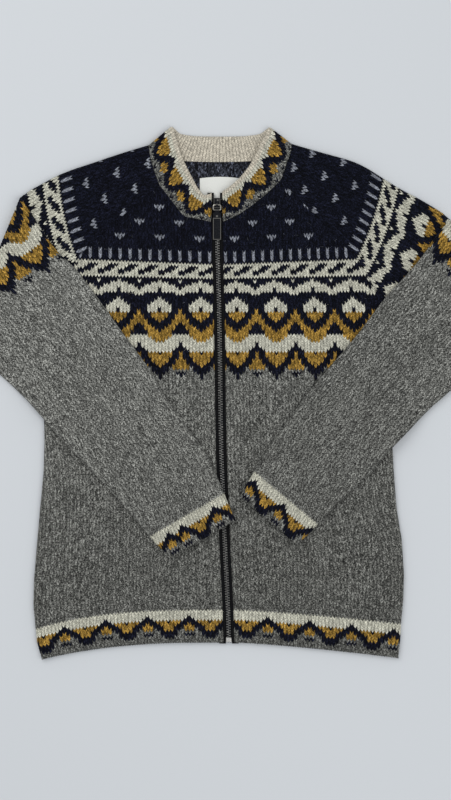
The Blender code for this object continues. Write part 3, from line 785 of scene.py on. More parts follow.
@dataclass(frozen=True)
class PlatedMetal:
    """Zinc alloy, die cast, tumbled and plated: soft reflections, paler in random worn patches, with painted
    highlights on given lines and dots.
    """

    name: str
    colour: str
    worn: str
    roughness: float
    # The colour of the painted highlights
    highlight_colour: str = "#73716c"
    highlight_lines: tuple[PaintedHighlightLine, ...] = ()
    grain_mm: float = 1.4
    grain_depth_mm: float = 0.05

    def paint_highlight(
        self, tree: bpy.types.NodeTree, place: bpy.types.NodeSocket, colour: bpy.types.NodeSocket,
        line: PaintedHighlightLine,
    ) -> bpy.types.NodeSocket:
        """Paints a highlight line over the plating's colour.

        Args:
            tree: The material's node tree.
            place: Where the surface is.
            colour: The plating's colour without the line.
            line: The line.

        Returns:
            The colour with it.
        """
        centre = (line.x * MM, line.y * MM, 0.0)
        half = (line.half_x * MM, line.half_y * MM, 0.0)
        offset = add_node(tree, "VectorMath", {"operation": "SUBTRACT"}, {0: place, 1: centre})
        beside = add_node(tree, "VectorMath", {"operation": "ABSOLUTE"}, {0: offset})
        past = add_node(tree, "VectorMath", {"operation": "SUBTRACT"}, {0: beside, 1: half})
        split = add_node(tree, "SeparateXYZ", {}, {"Vector": past})
        far = add_node(tree, "Math", {"operation": "MAXIMUM"}, {0: split.outputs["X"], 1: split.outputs["Y"]})
        shift = add_node(tree, "Math", {"operation": "ADD"}, {0: far, 1: line.width * MM / 2})
        off = add_node(tree, "Math", {"operation": "ABSOLUTE"}, {0: shift})
        found = add_node(tree, "MapRange", {}, {
            "Value": off, "From Min": 0.35 * line.width * MM, "From Max": 0.6 * line.width * MM,
            "To Min": 1.0, "To Max": 0.0,
        })
        highlight_colour = (*linear(self.highlight_colour), 1.0)
        return add_node(tree, "Mix", {"data_type": "RGBA"}, {0: found, 6: colour, 7: highlight_colour}).outputs[2]

    def material(self) -> bpy.types.Material:
        """Plating with worn patches, painted highlight lines and dots, and a faint tumbled surface."""
        material, tree, shader = start_material(self.name)
        place = add_node(tree, "TexCoord", {}, {}).outputs["Object"]
        patch = add_node(tree, "TexNoise", {}, {
            "Vector": place, "Scale": 1.0 / (self.grain_mm * MM), "Detail": 4.0,
        }).outputs["Fac"]
        worn = add_node(tree, "MapRange", {}, {"Value": patch, "From Min": 0.5, "From Max": 0.75})
        colour = add_node(tree, "Mix", {"data_type": "RGBA"}, {
            0: worn, 6: (*linear(self.colour), 1.0), 7: (*linear(self.worn), 1.0),
        }).outputs[2]
        # Painted highlights along the given lines and dots
        for line in self.highlight_lines:
            colour = self.paint_highlight(tree, place, colour, line)
        gloss = add_node(tree, "MapRange", {}, {
            "Value": patch, "To Min": self.roughness + 0.12, "To Max": self.roughness - 0.1,
        })
        bump = add_node(tree, "Bump", {}, {
            "Strength": 0.25, "Distance": self.grain_depth_mm * MM, "Height": patch,
        })
        feed(tree, shader, {"Base Color": colour, "Roughness": gloss, "Normal": bump, "Metallic": 1.0})
        return material


@dataclass
class FrontPanel:
    """A front from neck to hem, knitted from the zip edge outwards."""

    name: str
    side: float
    sides: tuple[SideRow, ...]
    raglan: tuple[Place, ...]
    neck: tuple[Place, ...]
    power: float
    columns: int
    yoke_pitch: float
    top_pitch: float
    chart_start: int
    chart_step: int
    ridges: tuple[Ridge, ...]
    rise: float = 9.0
    rise_rows: tuple[float, float] = (5, 20)
    pitch_rows: tuple[float, float] = (3, 24)
    even_from: float = -230.0
    even_over: float = 252.0
    first_row: int = -31
    # Painted light and shade: the front's marl is lighter near the yoke and darker at the hem
    marl_painted_light: tuple[float, float] = (1.2, 0.85)
    seed: int = SEED

    def frame_at(self, row: np.ndarray) -> tuple[np.ndarray, ...]:
        """A row's height at the zip, its zip edge, its width to the side fold and its droop there."""
        height = row_height(FRONT_ROWS, row)
        inner = zip_x(height) + self.side * ZIP_GAP / 2
        outer, droop = side_at(self.sides, height)
        return height, inner, np.abs(outer - inner), droop

    def where(self, row: np.ndarray, step: np.ndarray) -> np.ndarray:
        """The place of a step along a row, rolled under at the zip and hem and curled down at the side.

        Args:
            row: Row numbers.
            step: Millimetres of cloth from the zip edge's roll.

        Returns:
            Points in millimetres.
        """
        row = row - 0.5 * (row <= LAST_ROW)
        height, inner, width, droop = self.frame_at(row)
        curled = (height < self.sides[-1].height).astype(float)
        roll = np.clip(-step / EDGE_ROLL, 0.0, math.pi)
        start = width - CURL_REACH - EDGE_ROLL
        turn = np.clip((step - start) / CURL_BEND, 0.0, math.pi / 2) * curled
        flat = np.where(curled > 0, np.minimum(step, start), step)
        across = EDGE_ROLL + np.maximum(flat, 0.0)
        across = across - EDGE_ROLL * np.sin(roll) + np.maximum(-step - EDGE_ROLL * math.pi, 0.0)
        across = across + CURL_REACH * np.sin(turn)
        drop = EDGE_ROLL * (1 - np.cos(roll)) + TUBE_EDGE * (1 - np.cos(turn))
        share = np.clip(across / width, 0.0, 1.0)
        rise = self.rise * np.interp(row, self.rise_rows, (1.0, 0.0))
        y = height - droop * share ** self.power + rise * share
        under = np.maximum(row - LAST_ROW, 0.0) * ROW_HEIGHT
        fold = np.clip(under / EDGE_ROLL, 0.0, math.pi)
        y = y - EDGE_ROLL * np.sin(fold) + np.maximum(under - EDGE_ROLL * math.pi, 0.0)
        drop = drop + EDGE_ROLL * (1 - np.cos(fold)) * (1 - turn / math.pi * 2)
        x = inner + self.side * across
        calm = np.cos(roll / 2) * np.cos(turn)
        z = FRONT_TOP - drop + swell(self.ridges, x, y) * calm
        return np.stack(np.broadcast_arrays(x, y, z), axis=-1)

    def limits(self, rows: np.ndarray) -> tuple[np.ndarray, np.ndarray]:
        """Where each row starts and ends, in millimetres from the zip edge's roll."""
        height, inner, width, _ = self.frame_at(rows - 0.5 * (rows <= LAST_ROW))
        side_end = width - EDGE_ROLL - SIDE_CURL - KNIT / 2 + CURL_BEND / 2 * math.pi
        ends = []
        for edge, first in ((self.neck, 0.0), (self.raglan, 200.0)):
            step = np.full(len(rows), first)
            for _ in range(12):
                y = self.where(rows[:, None], step[:, None])[:, 0, 1]
                step = 0.5 * step + 0.5 * (self.side * (x_at(edge, y) - inner) - EDGE_ROLL)
            ends.append((step, y))
        (neck, neck_y), (raglan, _) = ends
        low = np.where(neck_y > self.neck[0].y, np.maximum(neck, 0.0), -EDGE_ROLL * math.pi - 3.0)
        high = np.where(height < self.sides[-1].height, side_end, raglan)
        return low, high

    def build(self, wool: bpy.types.Material) -> "Knitting":
        """Makes the panel and says what it was knitted to."""
        rows = np.arange(self.first_row, LAST_ROW + 3).astype(float)
        low, high = self.limits(rows)
        even = high / self.columns
        yoke = np.interp(rows, self.pitch_rows, (self.top_pitch, self.yoke_pitch))
        share = smooth((row_height(FRONT_ROWS, rows) - self.even_from) / self.even_over)
        pitch = even * (1 - share) + yoke * share
        bottom = rows > LAST_ROW
        pitch[bottom] = pitch[~bottom][-1]

        def yarn(row: np.ndarray, column: np.ndarray) -> np.ndarray:
            """Yarn numbers of this front."""
            chart_column = self.chart_start + self.chart_step * column
            return garment_yarn(row, chart_column, BORDER_ROW, chart_column)

        knit = Knitting(
            self.name, rows, pitch, low, high, self.where, yarn, -self.side, marl_painted_light=self.marl_painted_light, seed=self.seed
        )
        return finish_knit(knit, wool)


def finish_knit(knit: Knitting, wool: bpy.types.Material) -> Knitting:
    """Builds a knitted surface and dresses it."""
    thing = knit.build()
    sew_on(thing, wool)
    log.info("%s: %d triangles, %.3f m2", knit.name, len(thing.data.polygons), knit.area)
    return knit


@dataclass
class BackPanel:
    """The back: its patterned outside on the floor, its curled sides and its inside behind the neck."""

    name: str = "knit_back"
    first_row: int = -38
    inside_end: int = -4
    pitch: float = 4.66
    droop_power: float = 2.5
    level: float = 0.55
    hem_thin: float = 0.2
    outside_relief: float = 0.3
    inside_relief: float = 0.5
    inside_gap: float = 0.15

    def edges(self, height: np.ndarray) -> tuple[np.ndarray, ...]:
        """The left and right edges and the droop at both, at a height."""
        found = []
        for sides, raglan in ((SIDE_LEFT, BACK_RAGLAN_LEFT), (SIDE_RIGHT, BACK_RAGLAN_RIGHT)):
            outer, droop = side_at(sides, height)
            found.append((np.where(height > sides[-1].height, x_at(raglan, height), outer), droop))
        (left, droop_left), (right, droop_right) = found
        return left, right, droop_left, droop_right

    def where(self, row: np.ndarray, step: np.ndarray) -> np.ndarray:
        """The place of a step across from the middle, in millimetres of cloth."""
        row = row - 0.5 * (row <= LAST_ROW)
        height = row_height(BACK_ROWS, row)
        left, right, droop_left, droop_right = self.edges(height)
        middle = (left + right) / 2
        curled = (height < SIDE_RIGHT[-1].height).astype(float)
        flat = (right - left) / 2 - CURL_REACH * curled
        turn = np.clip((np.abs(step) - flat) / CURL_BEND, 0.0, math.pi / 2) * curled
        across = np.minimum(np.abs(step), np.where(curled > 0, flat, np.inf)) + CURL_REACH * np.sin(turn)
        x = middle + np.sign(step) * across
        share = np.clip((x - left) / (right - left), 0.0, 1.0)
        droop = droop_left * (1 - share) + droop_right * share
        y = height - droop * np.abs(2 * share - 1) ** self.droop_power
        under = np.maximum(row - LAST_ROW, 0.0) * ROW_HEIGHT
        fold = np.clip(under / EDGE_ROLL, 0.0, math.pi)
        y = y - EDGE_ROLL * np.sin(fold) + EDGE_ROLL + np.maximum(under - EDGE_ROLL * math.pi, 0.0)
        z = self.level + TUBE_EDGE * (1 - np.cos(turn)) + (EDGE_ROLL - self.hem_thin) * (1 - np.cos(fold))
        return np.stack(np.broadcast_arrays(x, y, z), axis=-1)

    def build(self, wool: bpy.types.Material) -> list[Knitting]:
        """Makes the outside and the part of the inside that shows."""
        rows = np.arange(self.first_row, LAST_ROW + 3).astype(float)
        height = row_height(BACK_ROWS, rows - 0.5)
        left, right, _, _ = self.edges(height)
        extra = CURL_BEND / 2 * math.pi - SIDE_CURL - KNIT / 2
        half = (right - left) / 2 + extra * (height < SIDE_RIGHT[-1].height)
        half = np.where(height > BACK_NECK, 0.0, half)
        shown = slice(0, self.inside_end - self.first_row)
        width = np.where(height > BACK_NECK, 0.0, (right - left) / 2 - 1.0)[shown]
        pitch = np.full(len(rows), self.pitch)

        def yarn(row: np.ndarray, column: np.ndarray) -> np.ndarray:
            """Yarn numbers of the back."""
            return garment_yarn(row, column + 6, BORDER_ROW, column + 6)

        def inside(row: np.ndarray, step: np.ndarray) -> np.ndarray:
            """The wall's inner side."""
            spots = self.where(row, step)
            spots[..., 2] = KNIT + self.inside_gap
            return spots

        def inside_yarn(row: np.ndarray, column: np.ndarray) -> np.ndarray:
            """Floats and heather behind the neck."""
            return np.full(row.shape, Yarn.INSIDE.value)

        outside = Knitting(
            self.name, rows, pitch, -half, half, self.where, yarn, 1.0, relief=self.outside_relief,
            seed=SEED + 5,
        )
        lining = Knitting(
            "knit_back_inside", rows[shown], pitch[shown], -width, width, inside, inside_yarn, -1.0,
            relief=self.inside_relief, seed=SEED + 6,
        )
        return [finish_knit(outside, wool), finish_knit(lining, wool)]


@dataclass
class SleeveTube:
    """A flat sleeve tube that bends over at its crease, knitted from the shoulder fold both ways round."""

    name: str
    side: float
    shoulder: tuple[Place, ...]
    raglan: tuple[Place, ...]
    back_raglan: tuple[Place, ...]
    unders: tuple[Section, ...]
    crease: tuple[Place, Place]
    laid: tuple[Section, ...]
    neck_reach: Place
    body_edge: float
    hub: Place
    hub_reach: float
    last_row: int
    pitches: tuple[tuple[float, float], ...]
    chart_shift: int
    border_shift: int
    ridges: tuple[Ridge, ...]
    border_length: int = 11
    border_join: int = -1000
    join_shift: int = 0
    hub_row: float = 5.0
    straight_from: float = 50.0
    straight_over: float = 70.0
    under_reach: float = 260.0
    samples: int = 1600
    window: int = 63
    edge_steps: int = 700
    edge_slack: float = 0.5
    turned_in: float = 6.0
    # Painted light and shade: the sleeve's marl is lighter near the yoke and darker at the cuff
    marl_painted_light: tuple[float, float] = (1.0, 1.0)
    seed: int = SEED
    edges_by_row: dict[str, Any] = field(default_factory=dict)

    @property
    def start(self) -> np.ndarray:
        """The crease's upper end."""
        return np.array(self.crease[0], dtype=float)

    @property
    def along(self) -> np.ndarray:
        """The way down the crease."""
        way = np.array(self.crease[1], dtype=float) - self.start
        return way / np.linalg.norm(way)

    @property
    def outward(self) -> np.ndarray:
        """The way across the crease, away from the body."""
        return np.array((-self.along[1], self.along[0])) * (1 if self.side > 0 else -1)

    def unfold(self, x: float, y: float) -> np.ndarray:
        """A place on the laid layer, opened out into the plane of the lower layer."""
        rest = np.array((x, y), dtype=float) - self.start
        past = BEND_LENGTH - 2 * BEND_REACH - rest @ self.outward
        return self.start + (rest @ self.along) * self.along + past * self.outward

    def fold(self, spot: np.ndarray, wall: np.ndarray) -> np.ndarray:
        """A place in the opened cloth, laid as the sleeve lies.

        Args:
            spot: Places in the opened plane.
            wall: Height of the wall's surface above the tube's middle.

        Returns:
            Points in millimetres.
        """
        rest = spot - self.start
        down = rest @ self.along
        past = rest @ self.outward + BEND_REACH
        turn = np.clip(past / BEND_LENGTH, 0.0, 1.0) * math.pi
        beside = np.where(past <= BEND_LENGTH, (BEND - wall) * np.sin(turn), BEND_LENGTH - past)
        beside = np.where(past < 0, past, beside) - BEND_REACH
        plan = self.start + down[..., None] * self.along + beside[..., None] * self.outward
        settle = SETTLE * (1 - smooth((past - BEND_LENGTH) / SETTLE_WIDTH))
        low = TUBE_LEVEL + BEND - (BEND - wall) * np.cos(turn)
        laid = LAID_LEVEL + settle - wall - self.sag(plan[..., 0], plan[..., 1])
        z = np.where(past <= BEND_LENGTH, low, laid)
        visible = np.where(past > BEND_LENGTH, -wall, wall) > 0
        z = z + swell(self.ridges, plan[..., 0], plan[..., 1]) * (past > BEND_LENGTH) * visible
        return np.concatenate((plan, z[..., None]), axis=-1)

    def sag(self, x: np.ndarray, y: np.ndarray) -> np.ndarray:
        """How far the laid sleeve sinks beside the body, where nothing lies under it."""
        corner, end = self.raglan[0], self.crease[1]
        beside = self.side * (x - self.body_edge)
        slope = (end.y - corner.y) / (end.x - corner.x)
        below = corner.y + slope * (x - corner.x) - y
        return SAG * smooth((np.minimum(beside, below) - SAG_START) / SAG_WIDTH)

    def straight(self, row: np.ndarray) -> np.ndarray:
        """How far a row has turned from a ring round the hub to a line along the cuff, from 0 to 1."""
        return smooth((row - self.straight_from) / self.straight_over)

    def row_at(self, spot: np.ndarray) -> np.ndarray:
        """The row number at places in the opened cloth: rings round the hub, then lines along the cuff."""
        reach = np.linalg.norm(spot - np.array(self.hub), axis=-1)
        rings = self.hub_row + (reach - self.hub_reach) / SLEEVE_ROW
        end = self.laid[-1]
        one, two = self.unfold(end.sx, end.sy), self.unfold(end.ux, end.uy)
        way = (two - one) / np.linalg.norm(two - one)
        across = np.array((-way[1], way[0]))
        if across @ (one - np.array(self.hub)) < 0:
            across = -across
        lines = self.last_row + ((spot - one) @ across) / SLEEVE_ROW
        share = self.straight(rings)
        return rings * (1 - share) + lines * share

    def prepare(self) -> None:
        """Works out where each row meets the shoulder fold and the under fold."""
        shoulder = [self.neck_reach, *self.shoulder[::-1], *((s.sx, s.sy) for s in self.unders), self.start]
        shoulder += [self.unfold(s.sx, s.sy) for s in self.laid]
        corner = np.array(self.raglan[0], dtype=float)
        first, second = ((s.ux, s.uy) for s in self.unders)
        back = (corner - first) / np.linalg.norm(corner - first)
        under = [corner + back * self.under_reach, corner, first, second, self.crease[1]]
        under += [self.unfold(s.ux, s.uy) for s in self.laid]
        window = np.ones(self.window) / self.window
        numbers = np.arange(-36.0, self.last_row + 0.26, 0.25)
        self.edges_by_row = {"row": numbers}
        for key, places in (("shoulder", shoulder), ("under", under)):
            places = np.array(places, dtype=float)
            lengths = measure(places)
            fine = np.linspace(0.0, lengths[-1], self.samples)
            line = [soften(np.interp(fine, lengths, part), window) for part in places.T]
            order = np.maximum.accumulate(self.row_at(np.stack(line, axis=1)))
            self.edges_by_row[key] = [np.interp(numbers, order, part) for part in line]

    def ends(self, row: np.ndarray) -> list[np.ndarray]:
        """The shoulder end and the under end of a row."""
        found = self.edges_by_row
        return [
            np.stack([np.interp(row, found["row"], part) for part in found[key]], axis=-1)
            for key in ("shoulder", "under")
        ]

    def spot(self, row: np.ndarray, step: np.ndarray) -> tuple[np.ndarray, np.ndarray]:
        """Where a step round the tube lies in the opened cloth, and on which wall.

        Args:
            row: Row numbers.
            step: Millimetres of cloth from the shoulder fold, above 0 on the front wall.

        Returns:
            Places in the opened plane, and heights above the tube's middle.
        """
        start, end = self.ends(np.minimum(row, self.last_row))
        chord = end - start
        width = np.linalg.norm(chord, axis=-1)
        full = width - 2 * TUBE_EDGE + math.pi * TUBE_EDGE
        walk = np.minimum(np.abs(step), full)
        edge = TUBE_EDGE * math.pi / 2
        near = np.clip(walk / TUBE_EDGE, 0.0, math.pi / 2)
        far = np.clip((full - walk) / TUBE_EDGE, 0.0, math.pi / 2)
        middle = TUBE_EDGE + walk - edge
        deep = np.where(walk < edge, TUBE_EDGE * (1 - np.cos(near)), middle)
        deep = np.where(full - walk < edge, width - TUBE_EDGE * (1 - np.cos(far)), deep)
        wall = np.sign(step) * TUBE_EDGE * np.sin(near) * np.sin(far)
        inside = np.clip(row - self.last_row, 0.0, 1.0)
        deep = deep + inside * KNIT * (1 - 2 * deep / width)
        wall = wall * (1 - inside * KNIT / TUBE_EDGE)
        share = deep / width
        rings = np.linalg.norm((start + end) / 2 - np.array(self.hub), axis=-1)
        bow = width ** 2 / (8 * rings) * (1 - self.straight(row))
        across = np.stack((chord[..., 1], -chord[..., 0]), axis=-1) / width[..., None]
        across = across * np.sign(np.sum(across * (start - np.array(self.hub)), axis=-1))[..., None]
        lift = 4 * bow * share * (1 - share) - np.maximum(row - self.last_row - 1, 0.0) * self.turned_in
        return start + chord * share[..., None] + across * lift[..., None], wall

    def where(self, row: np.ndarray, step: np.ndarray) -> np.ndarray:
        """The place of a step round the tube."""
        row = np.broadcast_to(row - 0.5 * (row < self.last_row), step.shape)
        return self.fold(*self.spot(row, step))

    def limits(self, rows: np.ndarray) -> tuple[np.ndarray, np.ndarray]:
        """Where each row ends on the back and front walls: at a raglan line or at the under fold."""
        row = rows - 0.5 * (rows < self.last_row)
        start, end = self.ends(np.minimum(row, self.last_row))
        full = np.linalg.norm(end - start, axis=1) - 2 * TUBE_EDGE + math.pi * TUBE_EDGE
        ends = []
        for sign, line in ((-1.0, self.back_raglan), (1.0, self.raglan)):
            steps = sign * np.linspace(0.0, 1.0, self.edge_steps)[None, :] * full[:, None]
            spots, _ = self.spot(np.broadcast_to(row[:, None], steps.shape), steps)
            beyond = self.side * (spots[..., 0] - x_at(line, spots[..., 1])) < -self.edge_slack
            beyond &= spots[..., 1] > line[0].y
            hit = np.where(beyond.any(axis=1), beyond.argmax(axis=1), steps.shape[1] - 1)
            ends.append(steps[np.arange(len(rows)), hit])
        return ends[0], ends[1]

    def build(self, wool: bpy.types.Material) -> Knitting:
        """Makes the sleeve and says what it was knitted to."""
        self.prepare()
        rows = np.arange(-33, self.last_row + 3).astype(float)
        low, high = self.limits(rows)
        pitch = np.interp(rows, [p[0] for p in self.pitches], [p[1] for p in self.pitches])
        border = self.last_row - self.border_length

        def yarn(row: np.ndarray, column: np.ndarray) -> np.ndarray:
            """Yarn numbers of this sleeve."""
            chart_column = (column - self.chart_shift) * int(-self.side)
            shift = np.where(column <= self.border_join, self.join_shift, self.border_shift)
            return garment_yarn(row, chart_column, border, column - shift)

        knit = Knitting(
            self.name, rows, pitch, low, high, self.where, yarn, -self.side, marl_painted_light=self.marl_painted_light, seed=self.seed
        )
        return finish_knit(knit, wool)


COLLAR_SECTIONS = (
    CollarRow(-16, 234.5, 6.4, -16, 271, 10.5), CollarRow(-33, 238, 6.4, -26, 267, 10.6),
    CollarRow(-52, 242, 6.4, -34, 277, 10.9), CollarRow(-71, 267, 6.4, -44, 296, 10.9),
    CollarRow(-84, 284, 6.4, -53, 314, 10.4), CollarRow(-93, 309, 6.5, -60, 334, 9.4),
    CollarRow(-97.5, 328, 6.8, -64, 349, 8.0),
    CollarRow(-98.2, 336, 7.0, -68.2, 361, 7.0), CollarRow(-99.2, 336.5, 4.45, -69.4, 361, 4.45),
    CollarRow(-98.2, 336, 1.9, -68.2, 361, 1.9),
    CollarRow(-84, 326, 1.9, -59, 352, 2.1), CollarRow(-70, 317.5, 1.9, -50, 350, 2.2),
    CollarRow(-51, 314, 1.9, -38, 348.5, 2.4), CollarRow(-28, 313.2, 1.9, -22, 348, 2.6),
    CollarRow(-6, 313, 1.9, -6, 348, 2.6), CollarRow(16, 313.2, 1.9, 12, 348, 2.6),
    CollarRow(38, 314, 1.9, 29, 348.5, 2.4), CollarRow(59, 318.5, 1.9, 42, 350, 2.2),
    CollarRow(75, 327, 1.9, 51, 352, 2.1),
    CollarRow(89.2, 337, 1.9, 60.2, 360, 1.9), CollarRow(90.2, 337.5, 4.45, 61.4, 360, 4.45),
    CollarRow(89.2, 337, 7.0, 60.2, 360, 7.0),
    CollarRow(88.5, 328, 6.8, 56, 349, 8.0), CollarRow(83, 314, 6.5, 49, 337, 9.2),
    CollarRow(75, 291, 6.4, 41, 319, 10.2), CollarRow(57, 273, 6.4, 32, 304, 10.8),
    CollarRow(36, 256, 6.4, 22, 292, 10.9), CollarRow(20, 245, 6.4, 10, 281, 10.7),
    CollarRow(-1.5, 234.5, 6.4, -1.5, 273, 10.5),
)


@dataclass
class CollarBand:
    """The double stand collar: patterned outside, cream inside, rounded at its rim and its two zip ends."""

    name: str = "knit_collar"
    half_wall: float = 1.8
    rows: int = 13
    pitch: float = 4.16
    rim_extra: float = 1.03
    samples: int = 900
    window: int = 29
    line: dict[str, np.ndarray] = field(default_factory=dict)

    def prepare(self) -> None:
        """Smooths the sections and measures the way along the collar."""
        table = np.array(COLLAR_SECTIONS, dtype=float)
        lengths = measure((table[:, :3] + table[:, 3:]) / 2)
        fine = np.linspace(0.0, lengths[-1], self.samples)
        window = np.hanning(self.window + 2)[1:-1]
        window /= window.sum()
        self.line = {"s": fine}
        for key, values in zip(CollarRow._fields, table.T):
            self.line[key] = soften(np.interp(fine, lengths, values), window)

    @property
    def length(self) -> float:
        """Millimetres along the collar's middle."""
        return float(self.line["s"][-1])

    def middle(self, along: np.ndarray, share: np.ndarray) -> np.ndarray:
        """A point of the wall's middle, from the neck seam at share 0 to the top edge at share 1."""
        at = {key: np.interp(along, self.line["s"], self.line[key]) for key in CollarRow._fields}
        x = at["bx"] + (at["tx"] - at["bx"]) * share
        y = at["by"] + (at["ty"] - at["by"]) * share
        z = at["bz"] + (at["tz"] - at["bz"]) * np.sin(share * math.pi / 2)
        return np.stack(np.broadcast_arrays(x, y, z), axis=-1)

    def where(self, row: np.ndarray, step: np.ndarray) -> np.ndarray:
        """A point of the collar's surface.

        Args:
            row: Row numbers from the rim, above 0 outside and below 0 inside.
            step: Millimetres along the collar.

        Returns:
            Points in millimetres.
        """
        row = np.broadcast_to(row, step.shape)
        along = np.clip(step, self.half_wall, self.length - self.half_wall)
        past = np.clip(np.abs(step - along) / self.half_wall, 0.0, math.pi / 2)
        flap = self.middle(along, np.zeros_like(along)) - self.middle(along, np.ones_like(along))
        height = np.linalg.norm(flap, axis=-1)
        walk = np.abs(row) / self.rows * (height + self.rim_extra)
        rim = self.half_wall * math.pi / 2
        turn = np.clip(walk / self.half_wall, 0.0, math.pi / 2)
        share = 1 - (self.half_wall + np.maximum(walk - rim, 0.0)) / height
        ahead = self.middle(along + 0.5, share) - self.middle(along - 0.5, share)
        upward = self.middle(along, share + 0.01) - self.middle(along, share - 0.01)
        ahead /= np.linalg.norm(ahead, axis=-1, keepdims=True)
        upward /= np.linalg.norm(upward, axis=-1, keepdims=True)
        out = -np.cross(ahead, upward)
        out /= np.linalg.norm(out, axis=-1, keepdims=True)
        offset = np.sign(row) * self.half_wall * np.sin(turn) * np.cos(past)
        lift = self.half_wall * np.cos(turn)
        ends = np.sign(step - along) * self.half_wall * np.sin(past)
        spot = self.middle(along, share) + out * offset[..., None]
        return spot + upward * lift[..., None] + ahead * ends[..., None]

    def build(self, wool: bpy.types.Material) -> Knitting:
        """Makes the collar and says what it was knitted to."""
        self.prepare()
        rows = np.arange(-self.rows, self.rows + 2).astype(float)
        repeats = round(self.length / (COLLAR_CHART.repeat * self.pitch))
        pitch = np.full(len(rows), self.length / (COLLAR_CHART.repeat * repeats))
        log.info("collar: %.1f mm long, %d repeats", self.length, repeats)
        roll = self.half_wall * (math.pi / 2 - 1)
        low = np.full(len(rows), -roll)
        high = np.full(len(rows), self.length + roll)

        def yarn(row: np.ndarray, column: np.ndarray) -> np.ndarray:
            """The outside's chart, and cream inside."""
            outside = read_chart(COLLAR_CHART, row, column)
            return np.where(row < 0, Yarn.RIM.value, outside)

        knit = Knitting(self.name, rows, pitch, low, high, self.where, yarn, 1.0, seed=SEED + 9)
        return finish_knit(knit, wool)


@dataclass
class ZipTeeth:
    """Die-cast teeth that clamp the two tapes' cords and lock at the middle."""

    pitch: float = 3.4
    bottom: float = -329.0
    top: float = 262.0
    outer: float = 2.9
    nose: float = 0.6
    root_width: float = 1.8
    nose_width: float = 1.2
    thick: float = 2.2
    lift: float = 0.2
    rounding: float = 0.35
    cord_level: float = 0.35
    cords: tuple[tuple[float, float], ...] = ((-4.3, 0.0), (-3.0, 0.35), (0.0, -0.5), (3.0, 0.35), (4.3, 0.0))

    def tooth(self, side: float) -> tuple[np.ndarray, np.ndarray]:
        """One tooth: a clamp on the tape that narrows to its nose."""
        shape = bmesh.new()
        bmesh.ops.create_cube(shape, size=1.0)
        for vert in shape.verts:
            inner = vert.co.x < 0
            width = self.nose_width if inner else self.root_width
            vert.co.x = -self.nose if inner else self.outer
            vert.co.y *= width
            vert.co.z *= self.thick * (0.8 if inner else 1.0)
            vert.co.x *= side
        if side < 0:
            bmesh.ops.reverse_faces(shape, faces=shape.faces)
        bmesh.ops.bevel(
            shape, geom=shape.edges[:], offset=self.rounding, segments=2, affect="EDGES", profile=0.5,
            clamp_overlap=True,
        )
        bmesh.ops.triangulate(shape, faces=shape.faces)
        shape.verts.index_update()
        points = np.array([v.co[:] for v in shape.verts])
        faces = np.array([[v.index for v in f.verts] for f in shape.faces])
        shape.free()
        return points, faces

    def build(self, metal: bpy.types.Material, tape: bpy.types.Material) -> None:
        """Sets the teeth along the zip, and the woven cords that they grip."""
        vertices, triangles, count = [], [], 0
        for side, shift in ((-1.0, 0.0), (1.0, 0.5)):
            points, faces = self.tooth(side)
            for y in np.arange(self.bottom + shift * self.pitch, self.top, self.pitch):
                slope = float(zip_z(y + 1) - zip_z(y - 1)) / 2
                spot = points + (float(zip_x(y)), y, float(zip_z(y)) + self.lift)
                spot[:, 2] += points[:, 1] * slope
                vertices.append(spot)
                triangles.append(faces + count)
                count += len(points)
        mesh = new_mesh("zip_teeth", np.concatenate(vertices), np.concatenate(triangles))
        teeth = new_object("zip_teeth", mesh)
        sew_on(teeth, metal)
        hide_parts("zip_chain")
        heights = np.arange(self.bottom - 6.0, self.top + 2.0, 4.0)
        rows = []
        for across, raised in self.cords:
            level = zip_z(heights) - self.cord_level + raised
            rows.append(np.stack((zip_x(heights) + across, heights, level), axis=1))
        cord = new_object("zip_tape_cords", grid_mesh("zip_tape_cords", np.stack(rows, axis=1)))
        sew_on(cord, tape)
        log.info("zip: %d tooth triangles", len(mesh.polygons))


def grid_mesh(name: str, grid: np.ndarray) -> bpy.types.Mesh:
    """Triangles over a grid of points that face up where rows run along Y and columns along X."""
    count, wide = grid.shape[:2]
    ident = np.arange(count * wide).reshape(count, wide)
    a, b, c, d = ident[:-1, :-1], ident[:-1, 1:], ident[1:, 1:], ident[1:, :-1]
    halves = [np.stack(half, axis=-1).reshape(-1, 3) for half in ((a, b, c), (a, c, d))]
    return new_mesh(name, grid.reshape(-1, 3), np.concatenate(halves))


